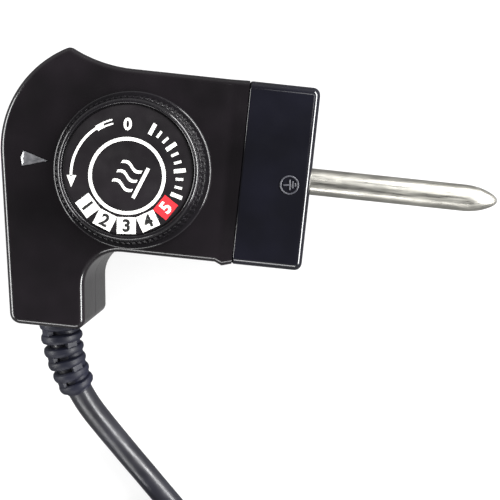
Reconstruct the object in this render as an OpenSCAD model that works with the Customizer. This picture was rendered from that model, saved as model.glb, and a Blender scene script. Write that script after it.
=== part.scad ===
// Griddle thermostat cord: a plug-in control with a dial, a heat-sensing probe and a mains lead.
// Origin: where the probe's axis crosses the hood's front plane. +X runs along the probe to its tip,
// +Z runs up the dial's axis. The part lies on its back. Lengths are millimetres, angles are degrees.

/* [Probe] */
// Outer diameter of the stainless probe
probe_d = 7.5; // [6.5:0.1:8.5]
// Length of the probe in front of the hood
probe_reach = 55; // [35:1:110]
// Length of the tapered nose
nose_l = 9.6; // [6:0.1:14]
// Radius of the rounded tip
tip_r = 1.4; // [0.8:0.1:2.2]
// Wall of the probe's tube
probe_wall = 0.5; // [0.4:0.05:0.8]

/* [Hood] */
// Length of the hood that covers the contacts
hood_l = 18.5; // [16:0.5:26]
// Width of the hood and of the body behind it
hood_w = 48; // [46:0.5:56]
// Height of the hood, which is the height of the whole casing
hood_h = 34; // [32:0.5:40]
// Wall of the hood
hood_wall = 2.2; // [1.8:0.1:2.6]
// Rounding of the hood's front edges
hood_edge_r = 2.2; // [1:0.1:3]

/* [Body] */
// Length of the body behind the hood
body_l = 63.5; // [62:0.5:72]
// How far the round back swells out beyond the hood's side
back_swell = 4; // [3:0.5:7]
// How far the hood stands above the body's top face
top_step = 1.2; // [0.6:0.1:2]
// Wall of both casing halves
wall = 2.2; // [1.8:0.1:2.6]
// Rounding of the casing's outer edges
edge_r = 1.8; // [1:0.1:2.4]
// Reach of the cord leg to the side of the probe's axis
leg_reach = 45.9; // [42:0.5:56]
// Width of the cord leg at its end
leg_w = 20; // [19:0.5:24]

/* [Dial] */
// Radius of the dial's skirt
skirt_r = 20.5; // [17:0.1:20.8]
// Height of the dial above the body's top face
dial_h = 9.2; // [7:0.1:14]
// Grip ribs round the dial
grip_ribs = 80; // [48:1:96]
// Turn from the stored place to full heat
turn_to_full = 146; // [120:1:150]
// Turn from the stored place to off
turn_to_off = 85; // [60:1:90]

/* [Contacts] */
// Distance between the two mains contacts
contact_pitch = 28; // [25:0.5:30]
// Diameter of the appliance pins that the contacts take
inlet_pin_d = 4.8; // [4:0.1:5]

/* [Cord] */
// Diameter of the round mains cord
cord_d = 7; // [6:0.1:7]
// Length of the ribbed strain relief outside the leg
relief_l = 22; // [20:0.5:24]
// Rings on the strain relief
relief_rings = 6; // [4:1:7]

/* [Plug] */
// Diameter of the plug's face
plug_face_d = 37; // [34:0.5:39]
// Length of the plug's body
plug_body_l = 38; // [34:0.5:44]
// Diameter of the plug's pins
plug_pin_d = 4.8; // [4:0.1:4.8]
// Length of the plug's pins
plug_pin_l = 19; // [17:0.5:19]
// Distance between the plug's pins
plug_pin_pitch = 19; // [18:0.1:19.5]

/* [Hidden] */
$fn = 48;
hull_facets = 32;
// Clearances: a snug seat inside one body, a running pin, and pieces that move past each other
seat_gap = 0.15;
run_gap = 0.05;
move_gap = 0.35;
// Overrun of every cut
over = 1;

// Heights
z_table = -hood_h / 2;
z_hood = hood_h / 2;
z_top = z_hood - top_step;
half_w = hood_w / 2;

// Outline of the body
swell_r = 36;
tight_round = 0.4;
loose_round = 0.8;
peak_round_r = wall + tight_round;
back_cy = 2.2;
peak_angle = 115.7;
back_lean = 8;
leg_lean = 6;
heel_r = wall + loose_round;
toe_r = wall + tight_round;
crook_r = 9;
front_spare = 6;
ramp_l = 4.5;
flare = 0.8;

// Dial and what it turns
front_x = -hood_l;
back_x = front_x - body_l;
dial_back = 35.5;
dial_x = back_x + dial_back;
dial_y = -2.4;
dial_gap = 0.4;
skirt_h = 1.5;
skirt_rim = 1.1;
grip_draft = 1;
rim_step = 0.6;
face_rim = 1.3;
grip_r_foot = skirt_r - skirt_rim;
grip_r_top = grip_r_foot - grip_draft;
rim_r = grip_r_top - rim_step;
face_r = rim_r - face_rim;
face_sink = 0.6;
face_t = 0.5;
face_seat = 0.2;
shaft_d = 6;
shaft_flat = 0.8;

// The points of an outline are built from arcs and from rounded corners
function unit(v) = v / norm(v);
function arc(centre, r, from, to, steps) =
    [for (i = [0:steps]) let (a = from + (to - from) * i / steps) centre + r * [cos(a), sin(a)]];
function turned(a) = a > 180 ? a - 360 : a < -180 ? a + 360 : a;
function fillet(a, b, c, r, steps) =
    let (
        u = unit(a - b),
        v = unit(c - b),
        half = acos(u * v) / 2,
        centre = b + unit(u + v) * r / sin(half),
        p = b + u * r / tan(half) - centre,
        q = b + v * r / tan(half) - centre,
        from = atan2(p.y, p.x)
    )
    arc(centre, r, from, from + turned(atan2(q.y, q.x) - from), steps);

// Moves each point of a closed outline inwards by d, with mitred corners
function inset(points, d) =
    let (n = len(points))
    [for (i = [0:n - 1])
        let (
            before = unit(points[i] - points[(i + n - 1) % n]),
            after = unit(points[(i + 1) % n] - points[i]),
            n1 = [-before.y, before.x],
            n2 = [-after.y, after.x]
        )
        points[i] + d * (n1 + n2) / (1 + n1 * n2)];

// Plan of the body, anticlockwise from the front
back_r = (half_w + back_swell - back_cy) / sin(peak_angle);
back_centre = [back_x + back_r, back_cy];
peak = back_centre + back_r * [cos(peak_angle), sin(peak_angle)];
swell_x = peak.x + sqrt(pow(swell_r, 2) - pow(swell_r + half_w - peak.y, 2));
swell_centre = [swell_x, half_w + swell_r];
swell_end = atan2(peak.y - swell_centre.y, peak.x - swell_centre.x) + 360;
back_end = back_centre + back_r * [cos(180 + back_lean), sin(180 + back_lean)];
heel = [back_end.x + (back_end.y + leg_reach) * tan(back_lean), -leg_reach];
toe = heel + [leg_w, 0];
knee = [toe.x - (leg_reach - half_w) * tan(leg_lean), -half_w];
outline = concat(
    [[front_x + front_spare, -half_w], [front_x + front_spare, half_w]],
    arc(swell_centre, swell_r, 270, swell_end + 3, 7),
    fillet(swell_centre + swell_r * [cos(swell_end + 3), sin(swell_end + 3)], peak,
        back_centre + back_r * [cos(peak_angle + 4), sin(peak_angle + 4)], peak_round_r, 3),
    arc(back_centre, back_r, peak_angle + 4, 180 + back_lean, 16),
    fillet(back_end, heel, toe, heel_r, 5),
    fillet(heel, toe, knee, toe_r, 5),
    fillet(toe, knee, [front_x, -half_w], crook_r, 8)
);

// Joint between the casing halves
lip_h = 1.2;
lip_t = 0.9;

// Hood's web, tongue and locking bead
web_t = 2.5;
web_back = 1.5;
web_x = front_x + web_back;
tongue_l = 5.5;
tongue_t = 1.3;
bead_l = 1.2;
bead_h = 0.7;
bead_r = 1.6;
bead_inset = 1.3;
bead_x = front_x - tongue_l + bead_inset;
section_r = 2.4;
tongue_y = half_w - wall - seat_gap;
tongue_top = z_top - wall - seat_gap;
tongue_foot = z_table + wall + seat_gap;

// Ceramic contact block
block_t = 6;
block_x = web_x - block_t;
block_y = tongue_y - tongue_t - seat_gap;
block_top = tongue_top - tongue_t - seat_gap;
block_foot = tongue_foot + tongue_t + seat_gap;

// Probe's neck, its nut and the rod inside
neck_step = 0.55;
neck_proud = 1;
neck_r = probe_d / 2 - neck_step;
neck_front = web_x + web_t + neck_proud;
plate_t = 1.2;
plate_x = block_x - plate_t;
nut_t = 3;
nut_wall = 3.2;
nut_r = neck_r + nut_wall;
neck_spare = 1.8;
neck_end = plate_x - nut_t - neck_spare;
rod_r = 1.3;
rod_gap = 0.6;
tip_wall = 5;
rod_tip = probe_reach - tip_wall - rod_gap;

// Sleeve contacts for the appliance's pins
sleeve_bore_r = inlet_pin_d / 2;
sleeve_t = 0.65;
sleeve_r = sleeve_bore_r + sleeve_t;
sleeve_front = -5.5;
sleeve_depth = 17;
sleeve_flange = 1.2;
sleeve_flange_r = sleeve_r + sleeve_flange;
sleeve_flange_t = 1;
sleeve_slit = 0.9;
tab_w = 4.5;
tab_t = 0.8;
tab_l = 6;

// Earth spring under the probe
earth_w = 6;
earth_t = 0.5;
earth_z = -8;

// Frame of the switch, bent from one steel strip
frame_t = 1.2;
frame_half_w = 8;
frame_foot = -12;
frame_reach = 17.5;
shelf_reach = 6;
frame_back = dial_x - frame_reach;
frame_top = 7;
shelf_front = dial_x + shelf_reach;
pad_r = 2.4;
pad_x_shares = [0.12, 0.88];
pad_y = 5;

// Switch blade that the rod pushes, hinged on a pin
blade_back = 3.4;
blade_x = neck_end - blade_back;
blade_t = 0.4;
blade_half_w = 3.5;
blade_pivot_z = -7;
blade_top = 6;
blade_hub_r = 1.5;
blade_pin_r = 0.8;
rod_end_gap = 0.2;
rod_end = blade_x + blade_t / 2 + rod_end_gap;
contact_z = 4;
contact_r = 1.8;
contact_t = 0.9;
rivet_r = 0.9;

// Lever that the dial's cam presses, hinged on a pin
lever_back = 3.6;
lever_x = blade_x - lever_back;
lever_z = -4;
lever_half_w = 5;
lever_t = 1;
lever_hub_r = 2.2;
lever_pin_r = 1;
lever_gap = 0.95;
ear_t = 1;
cam_r = 5.6;
nub_r = 1;
nub_at = 4;
arm_l = lever_x - (dial_x - nub_at);
arm_half_w = 2;
arm_t = 1.2;
nub_z = -1.4;
cam_rise = 2.9;
cam_clear = 0.25;
cam_top = 2.5;
cam_margin = 15;
cam_pin_r = 2;
cam_steps = 36;

// Bush, clip and hub of the dial's shaft
bush_r = 4.2;
bush_flange_r = 5.8;
bush_flange_t = 0.9;
bush_drop = 1;
clip_t = 0.8;
clip_r = 4.8;
hub_r = 5;
shaft_seat = 5;

// Pointer lens, with the lamp below it
lens_margin = 6.5;
lens_l = 6.5;
lens_shift = 0.3;
lens_bow = 0.5;
lens_back = back_x + lens_margin;
lens_tip = lens_back + lens_l;
lens_y = dial_y + lens_shift;
lens_half_w = 2;
lens_proud = 0.3;
lens_flange = 0.4;
lens_flange_t = 0.8;
lamp_r = 2;
lamp_l = 12.8;
lamp_depth = 6.6;
lamp_z = z_top - lamp_depth;
lamp_x = (lens_back + lens_tip) / 2;
lamp_rib_t = 1.4;
lamp_lead_l = 0.8;
resistor_r = 1.2;
resistor_l = 6.4;
resistor_lead_l = 3;
lamp_pitch = 5.4;
resistor_y = lens_y + lamp_pitch;
lead_r = 0.35;

// Screws that hold the casing together
screw_r = 1.5;
screw_head_r = 2.9;
screw_head_t = 1.8;
screw_l = 20;
screw_boss_r = 3.7;
screw_sink = 3;
screw_in = 4.4;
screw_back = 12;
back_screw = [-12.6, 17.8];
leg_screw = [2.4, 2.5];
screw_places = [
    [block_x - screw_back, half_w - wall - screw_in],
    [block_x - screw_back, -half_w + wall + screw_in],
    back_centre + back_screw,
    [heel.x, -half_w] + leg_screw
];
screw_slot_w = 0.7;
screw_slot_t = 1;

// Where the cord leaves the leg, and its clamp inside
exit_point = [heel.x + leg_w / 2, -leg_reach, 0];
exit_heading = -83;
exit_skew = exit_heading + 90;
relief_wall = 1;
relief_flange = 1.7;
relief_neck_r = cord_d / 2 + relief_wall;
relief_flange_r = relief_neck_r + relief_flange;
relief_flange_t = 2;
flange_in = (wall + seat_gap) / cos(exit_skew) + relief_flange_r * tan(exit_skew);
sheath_in = flange_in + relief_flange_t;
sheath_share = 0.548;
sheath_l = sheath_share * (leg_reach - half_w);
clamp_in = sheath_in + sheath_l / 2;
clamp_share = 0.42;
clamp_w = clamp_share * sheath_l;
clamp_t = 2.4;
clamp_post_r = 2;
clamp_screw_r = 1;
clamp_screw_head_r = 1.7;
clamp_screw_head_t = 1.1;
clamp_screw_l = 8;
clamp_at = cord_d / 2 + clamp_post_r + seat_gap;

// A solid between stacked outlines of equally many points, each a list of [x, y, z]
module stacked(rings) {
    n = len(rings[0]);
    last = len(rings) - 1;
    polyhedron(
        points = [for (ring = rings) each ring],
        faces = concat(
            [[for (i = [0:n - 1]) i]],
            [for (k = [0:last - 1]) for (i = [0:n - 1])
                let (j = (i + 1) % n)
                each [[k * n + i, (k + 1) * n + i, (k + 1) * n + j], [k * n + i, (k + 1) * n + j, k * n + j]]],
            [[for (i = [0:n - 1]) last * n + n - 1 - i]]
        )
    );
}

// A round tube or rod swept along points, with a radius for each ring
function ring_at(path, k, r, sides) =
    let (
        t = unit(path[min(k + 1, len(path) - 1)] - path[max(k - 1, 0)]),
        side = unit(cross(t, [0, 0, 1])),
        up = cross(side, t)
    )
    [for (i = [0:sides - 1]) let (a = 360 * i / sides) path[k] + r * (cos(a) * side + sin(a) * up)];
module swept(path, radii, sides) {
    n = len(path);
    rings = [for (k = [0:n - 1]) each ring_at(path, k, radii[k], sides)];
    polyhedron(
        points = rings,
        faces = concat(
            [[for (i = [0:sides - 1]) sides - 1 - i]],
            [for (k = [0:n - 2]) for (i = [0:sides - 1])
                let (j = (i + 1) % sides, a = k * sides, b = (k + 1) * sides)
                each [[a + i, a + j, b + j], [a + i, b + j, b + i]]],
            [[for (i = [0:sides - 1]) (n - 1) * sides + i]]
        )
    );
}
module wire(path, r) {
    swept(path, [for (p = path) r], 8);
}

// Rounded section across the hood, from one height to another
module section(half_width, foot, top, r) {
    hull()
        for (y = [-half_width + r, half_width - r], z = [foot + r, top - r])
            translate([-z, y]) circle(r, $fn = hull_facets);
}
// Stands the section up at a place along X and gives it a length
module section_bar(x, length, half_width, foot, top, r) {
    translate([x, 0, 0])
        rotate([0, 90, 0])
            linear_extrude(length) section(half_width, foot, top, r);
}

// Half of the casing's outer form, from the joint at zero up to a rounded rim at the given height
module half_form(height) {
    steps = 4;
    stacked(concat(
        [[for (p = outline) [p.x, p.y, 0]]],
        [for (k = [0:steps])
            let (a = 90 * k / steps, d = edge_r * (1 - cos(a)))
            [for (p = inset(outline, d)) [p.x, p.y, height - edge_r + edge_r * sin(a)]]]
    ));
}

// Collar that meets the hood: it starts just inside the body's end and rises to the hood's edge
module collar(height, rise) {
    bulge_back = 2.6;
    bulge_x = front_x - bulge_back;
    intersection() {
        hull() {
            section_bar(front_x - ramp_l - seat_gap, seat_gap, half_w - seat_gap, -height, height - seat_gap, edge_r);
            section_bar(front_x, over, half_w, -height - rise, height + rise, section_r);
            translate([bulge_x, -half_w - flare + edge_r, -height]) cylinder(h = 2 * height - edge_r, r = edge_r, $fn = hull_facets);
        }
        translate([front_x - 2 * ramp_l, -hood_w, 0]) cube([3 * ramp_l, 2 * hood_w, hood_h]);
    }
}

// One half of the casing with its hollow, before bosses and holes
module half_shell(height, rise, rebate) {
    difference() {
        union() {
            difference() {
                half_form(height);
                translate([front_x - ramp_l, -hood_w, -over]) cube([2 * hood_l, 2 * hood_w, hood_h]);
            }
            collar(height, rise);
        }
        translate([front_x, -hood_w, -over]) cube([hood_l, 2 * hood_w, hood_h]);
        stacked([
            for (level = [[-over, rebate], [lip_h + seat_gap, rebate], [lip_h + seat_gap, 0], [height - wall, 0]])
                [for (p = inset(outline, wall - level[1])) [p.x, p.y, level[0]]]
        ]);
        section_bar(bead_x - seat_gap, bead_l + 2 * seat_gap, tongue_y + bead_h + seat_gap,
            -height + wall - bead_h, height - wall + bead_h, bead_r);
    }
}

// Places and turns something at the cord's exit, with +X pointing out along the cord
module at_exit(inward) {
    translate(exit_point) rotate([0, 0, exit_heading]) translate([-inward, 0, 0]) children();
}
module exit_hole() {
    at_exit(wall + over) rotate([0, 90, 0]) cylinder(h = wall + 3 * over, r = relief_neck_r + seat_gap);
}

// Drafted post that stands on a wall at its root and narrows to its tip
module post(p, root, tip, r) {
    tip_share = 0.94;
    slice = 0.1;
    hull() {
        translate([p.x, p.y, root - slice / 2]) cylinder(h = slice, r = r, $fn = hull_facets);
        translate([p.x, p.y, tip > root ? tip - slice : tip]) cylinder(h = slice, r = tip_share * r, $fn = hull_facets);
    }
}

module upper_housing() {
    boss_foot = z_table + screw_sink + screw_head_t + wall + seat_gap;
    rib_x = (lamp_l - lamp_rib_t) / 2;
    color("#161314")
    difference() {
        union() {
            half_shell(z_top, top_step, lip_t + seat_gap);
            for (p = screw_places) post(p, z_top - wall / 2, boss_foot, screw_boss_r);
            for (x = [lamp_x - rib_x, lamp_x + rib_x])
                translate([x - lamp_rib_t / 2, lens_y - lamp_r - lamp_rib_t, lamp_z - lamp_r / 2])
                    cube([lamp_rib_t, resistor_y + resistor_r - lens_y + lamp_r + 2 * lamp_rib_t,
                        z_top - wall / 2 - lamp_z + lamp_r / 2]);
        }
        translate([dial_x, dial_y, z_top - wall - over]) cylinder(h = wall + 2 * over, r = shaft_d / 2 + move_gap);
        for (p = screw_places)
            translate([p.x, p.y, z_table]) cylinder(h = hood_h - top_step - 2 * wall, r = screw_r + run_gap);
        translate([lamp_x - lamp_l / 2 - over, lens_y, lamp_z])
            rotate([0, 90, 0]) cylinder(h = lamp_l + 2 * over, r = lamp_r + seat_gap);
        translate([lamp_x - lamp_l / 2 - over, resistor_y, lamp_z])
            rotate([0, 90, 0]) cylinder(h = lamp_l + 2 * over, r = lead_r + seat_gap);
        translate([0, 0, z_top - wall - over]) linear_extrude(wall + 2 * over) lens_plan(seat_gap);
        exit_hole();
    }
}

module lower_housing() {
    boss_top = z_table + screw_sink + screw_head_t + wall;
    floor_z = z_table + wall / 2;
    color("#161314")
    difference() {
        union() {
            mirror([0, 0, 1]) half_shell(z_hood, 0, 0);
            rim_lip();
            for (p = screw_places) post(p, floor_z, boss_top, screw_boss_r);
            for (share = pad_x_shares, y = [-pad_y, pad_y])
                post([frame_back + share * (block_x - frame_back), y], floor_z, frame_foot, pad_r);
            at_exit(clamp_in) translate([-clamp_w / 2, -clamp_at - clamp_post_r, floor_z])
                cube([clamp_w, 2 * clamp_at + 2 * clamp_post_r, -floor_z - seat_gap]);
        }
        for (p = screw_places) translate([p.x, p.y, z_table - over]) {
            cylinder(h = screw_sink + over, r = screw_head_r + move_gap);
            cylinder(h = hood_h / 2, r = screw_r + seat_gap);
        }
        at_exit(clamp_in + clamp_w) rotate([0, 90, 0]) cylinder(h = 2 * clamp_w, r = cord_d / 2 + seat_gap);
        for (side = [-1, 1])
            at_exit(clamp_in) translate([0, side * clamp_at, cord_d / 2 - clamp_screw_l])
                cylinder(h = hood_h, r = clamp_screw_r + run_gap);
        exit_hole();
    }
}

// Thin wall on the lower half that stands inside the upper half's rebate
module rim_lip() {
    difference() {
        stacked([for (z = [-wall, lip_h]) [for (p = inset(outline, wall - lip_t)) [p.x, p.y, z]]]);
        stacked([for (z = [-hood_h, hood_h]) [for (p = inset(outline, wall - run_gap)) [p.x, p.y, z]]]);
        translate([front_x - tongue_l - over, -hood_w, -hood_h]) cube([hood_l + tongue_l, 2 * hood_w, 2 * hood_h]);
    }
}

module contact_hood() {
    color("#131316")
    difference() {
        union() {
            hull() {
                steps = 4;
                section_bar(front_x, over, half_w, z_table, z_hood, section_r);
                for (k = [0:steps])
                    let (a = 90 * k / steps, d = hood_edge_r * (1 - cos(a)))
                    section_bar(-hood_edge_r + hood_edge_r * sin(a) - seat_gap, seat_gap, half_w - d,
                        z_table + d, z_hood - d, section_r);
            }
            section_bar(front_x - tongue_l, tongue_l + over, tongue_y, tongue_foot, tongue_top, section_r);
            section_bar(bead_x, bead_l, tongue_y + bead_h, tongue_foot - bead_h, tongue_top + bead_h, bead_r);
        }
        section_bar(web_x + web_t, hood_l, half_w - hood_wall, z_table + hood_wall, z_hood - hood_wall, section_r / 2);
        section_bar(front_x - tongue_l - over, tongue_l + web_back + over, tongue_y - tongue_t,
            tongue_foot + tongue_t, tongue_top - tongue_t, section_r / 2);
        translate([web_x - over, 0, 0]) rotate([0, 90, 0]) cylinder(h = web_t + 2 * over, r = neck_r + move_gap);
        for (side = [-1, 1])
            translate([web_x - over, side * contact_pitch / 2, 0])
                rotate([0, 90, 0]) cylinder(h = web_t + 2 * over, r = sleeve_r + seat_gap);
        translate([web_x - over, -earth_w / 2 - seat_gap, earth_z - earth_t - seat_gap])
            cube([web_t + 2 * over, earth_w + 2 * seat_gap, earth_t + 2 * seat_gap]);
    }
}

module contact_block() {
    color("#e6e0d2")
    difference() {
        section_bar(block_x, block_t - seat_gap, block_y, block_foot, block_top, section_r / 2);
        translate([block_x - over, 0, 0]) rotate([0, 90, 0]) cylinder(h = block_t + 2 * over, r = neck_r + seat_gap);
        for (side = [-1, 1])
            translate([block_x - over, side * contact_pitch / 2, 0])
                rotate([0, 90, 0]) cylinder(h = block_t + 2 * over, r = sleeve_r + seat_gap);
        translate([block_x - over, -earth_w / 2 - seat_gap, earth_z - earth_t - seat_gap])
            cube([block_t + 2 * over, earth_w + 2 * seat_gap, earth_t + 2 * seat_gap]);
    }
}

// A revolved piece along +X, from a profile of [x, r] points
module turned_along_x(profile) {
    rotate([0, 90, 0]) rotate_extrude() polygon([for (p = profile) [p.y, p.x]]);
}

module probe_tube() {
    r = probe_d / 2;
    taper_x = probe_reach - nose_l;
    nose_a = atan2(r - tip_r, nose_l - tip_r);
    color("#b9b7b0")
    difference() {
        turned_along_x(concat(
            [[neck_end, 0], [neck_end, neck_r], [neck_front, neck_r], [neck_front + r - neck_r, r], [taper_x, r]],
            [for (k = [0:6]) let (a = nose_a + (90 - nose_a) * k / 6)
                [probe_reach - tip_r + tip_r * sin(a), tip_r * cos(a)]]
        ));
        turned_along_x([
            [neck_end - over, 0], [neck_end - over, neck_r - probe_wall], [neck_front, neck_r - probe_wall],
            [neck_front + r - neck_r, r - probe_wall], [taper_x, r - probe_wall],
            [probe_reach - tip_wall, rod_r + seat_gap], [probe_reach - tip_wall, 0]
        ]);
    }
}

module probe_nut() {
    color("#c9a24a")
    translate([plate_x - nut_t, 0, 0]) rotate([0, 90, 0]) difference() {
        cylinder(h = nut_t, r = nut_r, $fn = 6);
        translate([0, 0, -over]) cylinder(h = nut_t + 2 * over, r = neck_r + seat_gap);
    }
}

module expansion_rod() {
    color("#d9d4c6")
    translate([rod_end, 0, 0]) rotate([0, 90, 0]) cylinder(h = rod_tip - rod_end, r = rod_r);
}

// Slit sleeve that grips one pin of the appliance, with a tab behind the block
module contact_sleeve(side) {
    color("#c7c2b4")
    translate([0, side * contact_pitch / 2, 0]) difference() {
        union() {
            turned_along_x([
                [block_x - sleeve_flange_t, 0], [block_x - sleeve_flange_t, sleeve_flange_r],
                [block_x, sleeve_flange_r], [block_x, sleeve_r], [sleeve_front, sleeve_r], [sleeve_front, 0]
            ]);
            translate([block_x - sleeve_flange_t - tab_l, -tab_w / 2, -tab_t / 2]) cube([tab_l + over / 2, tab_w, tab_t]);
        }
        translate([sleeve_front - sleeve_depth, 0, 0]) rotate([0, 90, 0]) cylinder(h = sleeve_depth + over, r = sleeve_bore_r);
        translate([web_x + web_t + over, -sleeve_slit / 2, 0]) cube([hood_l, sleeve_slit, sleeve_r + over]);
    }
}
module contact_sleeve_left() {
    contact_sleeve(1);
}
module contact_sleeve_right() {
    contact_sleeve(-1);
}

// Bowed strip that touches the guard of the appliance's inlet
module earth_spring() {
    free_l = -web_x - web_t;
    bow_shares = [[0.25, 0.45], [0.5, 0.9], [0.7, 1], [0.85, 0.6], [0.93, 0.1]];
    bow = 2.2;
    path = concat(
        [[block_x - tab_l, 0], [web_x + web_t, 0]],
        [for (s = bow_shares) [web_x + web_t + s.x * free_l, s.y * bow]]
    );
    n = len(path);
    color("#cdb877")
    translate([0, earth_w / 2, earth_z]) rotate([90, 0, 0]) linear_extrude(earth_w)
        polygon(concat(path, [for (i = [n - 1:-1:0]) path[i] - [0, earth_t]]));
}

// One bent strip: a plate behind the block, the floor, the back and the shelf that holds the bush
module mech_frame() {
    color("#a9abad")
    difference() {
        union() {
            translate([plate_x, -frame_half_w, frame_foot]) cube([plate_t - seat_gap / 3, 2 * frame_half_w, frame_top - frame_foot]);
            translate([frame_back, -frame_half_w, frame_foot]) cube([plate_x - frame_back + frame_t / 2, 2 * frame_half_w, frame_t]);
            translate([frame_back, -frame_half_w, frame_foot]) cube([frame_t, 2 * frame_half_w, frame_top - frame_foot]);
            translate([frame_back, -frame_half_w, frame_top - frame_t])
                cube([shelf_front - frame_back, 2 * frame_half_w, frame_t]);
            for (side = [-1, 1])
                translate([0, side * (lever_half_w + seat_gap + ear_t / 2) + ear_t / 2, 0])
                    ear(lever_x, lever_z, lever_hub_r, frame_foot);
        }
        translate([plate_x - over, 0, 0]) rotate([0, 90, 0]) cylinder(h = 3 * over, r = neck_r + seat_gap);
        translate([dial_x, dial_y, frame_top - frame_t - over]) cylinder(h = 3 * over, r = bush_r + seat_gap);
        pin_along_y(lever_x, lever_z, lever_pin_r + seat_gap / 3, 2 * frame_half_w);
        translate([stack_x, 0, frame_foot - over]) cylinder(h = 3 * over, r = rivet_r + seat_gap);
        translate([plate_x - over, -earth_w / 2 - seat_gap, earth_z - earth_t - seat_gap])
            cube([3 * over, earth_w + 2 * seat_gap, earth_t + 2 * seat_gap]);
    }
}
// An upright tab for a hinge pin, standing on a plate
module ear(x, z, r, foot) {
    rotate([90, 0, 0]) linear_extrude(ear_t) {
        translate([x, z]) circle(r);
        translate([x - r, foot]) square([2 * r, z - foot]);
    }
}
module pin_along_y(x, z, r, length) {
    translate([x, length / 2, z]) rotate([90, 0, 0]) cylinder(h = length, r = r);
}

module shaft_bush() {
    color("#c9a24a")
    translate([dial_x, dial_y, 0]) difference() {
        union() {
            translate([0, 0, frame_top - frame_t - bush_drop])
                cylinder(h = frame_t + bush_drop + bush_flange_t / 2, r = bush_r);
            translate([0, 0, frame_top]) cylinder(h = bush_flange_t, r = bush_flange_r);
        }
        translate([0, 0, frame_top - 2 * frame_t - bush_drop]) cylinder(h = hood_h / 2, r = shaft_d / 2 + run_gap);
    }
}

// Ceramic washers that insulate the blade's bracket, and the rivet through them
stack_back = 5;
stack_x = blade_x - stack_back;
stack_r = 3;
washer_t = 1.2;
bracket_t = 0.8;
bracket_z = frame_foot + frame_t + washer_t;
bracket_half_w = blade_half_w + seat_gap + ear_t;
live_tab_w = 2.4;
live_tab_x = blade_x + blade_hub_r - live_tab_w;
module blade_washers() {
    color("#e6e0d2")
    for (z = [frame_foot + frame_t, bracket_z + bracket_t])
        translate([stack_x, 0, z]) difference() {
            cylinder(h = washer_t, r = stack_r);
            translate([0, 0, -over]) cylinder(h = 2 * over + washer_t, r = rivet_r + seat_gap);
        }
}
module stack_rivet() {
    top = bracket_z + bracket_t + washer_t;
    color("#b9b7b0")
    translate([stack_x, 0, 0]) {
        translate([0, 0, frame_foot - rivet_r]) cylinder(h = top - frame_foot + 2 * rivet_r, r = rivet_r);
        translate([0, 0, frame_foot - rivet_r]) cylinder(h = rivet_r, r = 2 * rivet_r);
        translate([0, 0, top]) cylinder(h = rivet_r, r = 2 * rivet_r);
    }
}
// Bracket that carries the blade's pin and a tab for the live wire
module blade_bracket() {
    color("#c9a24a")
    difference() {
        union() {
            translate([stack_x - stack_r, -bracket_half_w, bracket_z])
                cube([blade_x + blade_hub_r - stack_x + stack_r, 2 * bracket_half_w, bracket_t]);
            for (side = [-1, 1])
                translate([0, side * (bracket_half_w - ear_t / 2) + ear_t / 2, 0])
                    ear(blade_x, blade_pivot_z, blade_hub_r, bracket_z);
            translate([live_tab_x, -bracket_half_w - tab_l, bracket_z]) cube([live_tab_w, tab_l + over, bracket_t]);
        }
        pin_along_y(blade_x, blade_pivot_z, blade_pin_r + seat_gap / 3, 4 * bracket_half_w);
        translate([stack_x, 0, bracket_z - over]) cylinder(h = 3 * over, r = rivet_r + seat_gap);
    }
}
module hinge_pins() {
    color("#b9b7b0") {
        pin_along_y(blade_x, blade_pivot_z, blade_pin_r, 2 * bracket_half_w + 2 * seat_gap);
        pin_along_y(lever_x, lever_z, lever_pin_r, 2 * (lever_half_w + ear_t + 2 * seat_gap));
    }
}
module contact_blade() {
    color("#cdb877")
    difference() {
        union() {
            pin_along_y(blade_x, blade_pivot_z, blade_hub_r - seat_gap, 2 * blade_half_w);
            translate([blade_x - blade_t / 2, -blade_half_w, blade_pivot_z + blade_hub_r / 2])
                cube([blade_t, 2 * blade_half_w, blade_top - blade_pivot_z - blade_hub_r / 2]);
        }
        pin_along_y(blade_x, blade_pivot_z, blade_pin_r + run_gap, 4 * blade_half_w);
        translate([blade_x - over, 0, contact_z]) rotate([0, 90, 0]) cylinder(h = 2 * over, r = rivet_r + run_gap);
    }
}
// A silver contact riveted through a strip; it faces along dir
module contact_rivet(x, strip_t, dir, reach) {
    color("#d8d8d4")
    translate([x, 0, contact_z]) rotate([0, dir * 90, 0]) {
        translate([0, 0, strip_t / 2]) cylinder(h = reach, r = contact_r);
        translate([0, 0, -strip_t / 2 - rivet_r / 3]) cylinder(h = strip_t + rivet_r / 2, r = rivet_r);
        translate([0, 0, -strip_t / 2 - rivet_r / 2]) cylinder(h = rivet_r / 2, r = 1.6 * rivet_r);
    }
}
module blade_contact() {
    contact_rivet(blade_x, blade_t, -1, contact_t);
}
lever_reach = blade_x - blade_t / 2 - contact_t - lever_gap - lever_x - lever_t / 2;
module lever_contact() {
    contact_rivet(lever_x, lever_t, 1, lever_reach);
}

// Bent lever: an upright arm with a contact, and a lying arm with a nub under the cam
module set_lever() {
    color("#7a4a2c")
    difference() {
        union() {
            pin_along_y(lever_x, lever_z, lever_hub_r, 2 * lever_half_w);
            translate([lever_x - lever_t / 2, -lever_half_w / 2, lever_z])
                cube([lever_t, lever_half_w, contact_z + contact_r + over / 2 - lever_z]);
            translate([lever_x - arm_l - arm_half_w, dial_y - arm_half_w, lever_z - arm_t / 2])
                cube([arm_l + arm_half_w, 2 * arm_half_w, arm_t]);
            translate([lever_x - arm_l, dial_y, lever_z]) {
                cylinder(h = nub_z - nub_r - lever_z, r = nub_r);
                translate([0, 0, nub_z - nub_r - lever_z]) sphere(nub_r);
            }
        }
        pin_along_y(lever_x, lever_z, lever_pin_r + run_gap, 4 * lever_half_w);
        translate([lever_x - over, 0, contact_z]) rotate([0, 90, 0]) cylinder(h = 2 * over, r = rivet_r + run_gap);
    }
}

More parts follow.
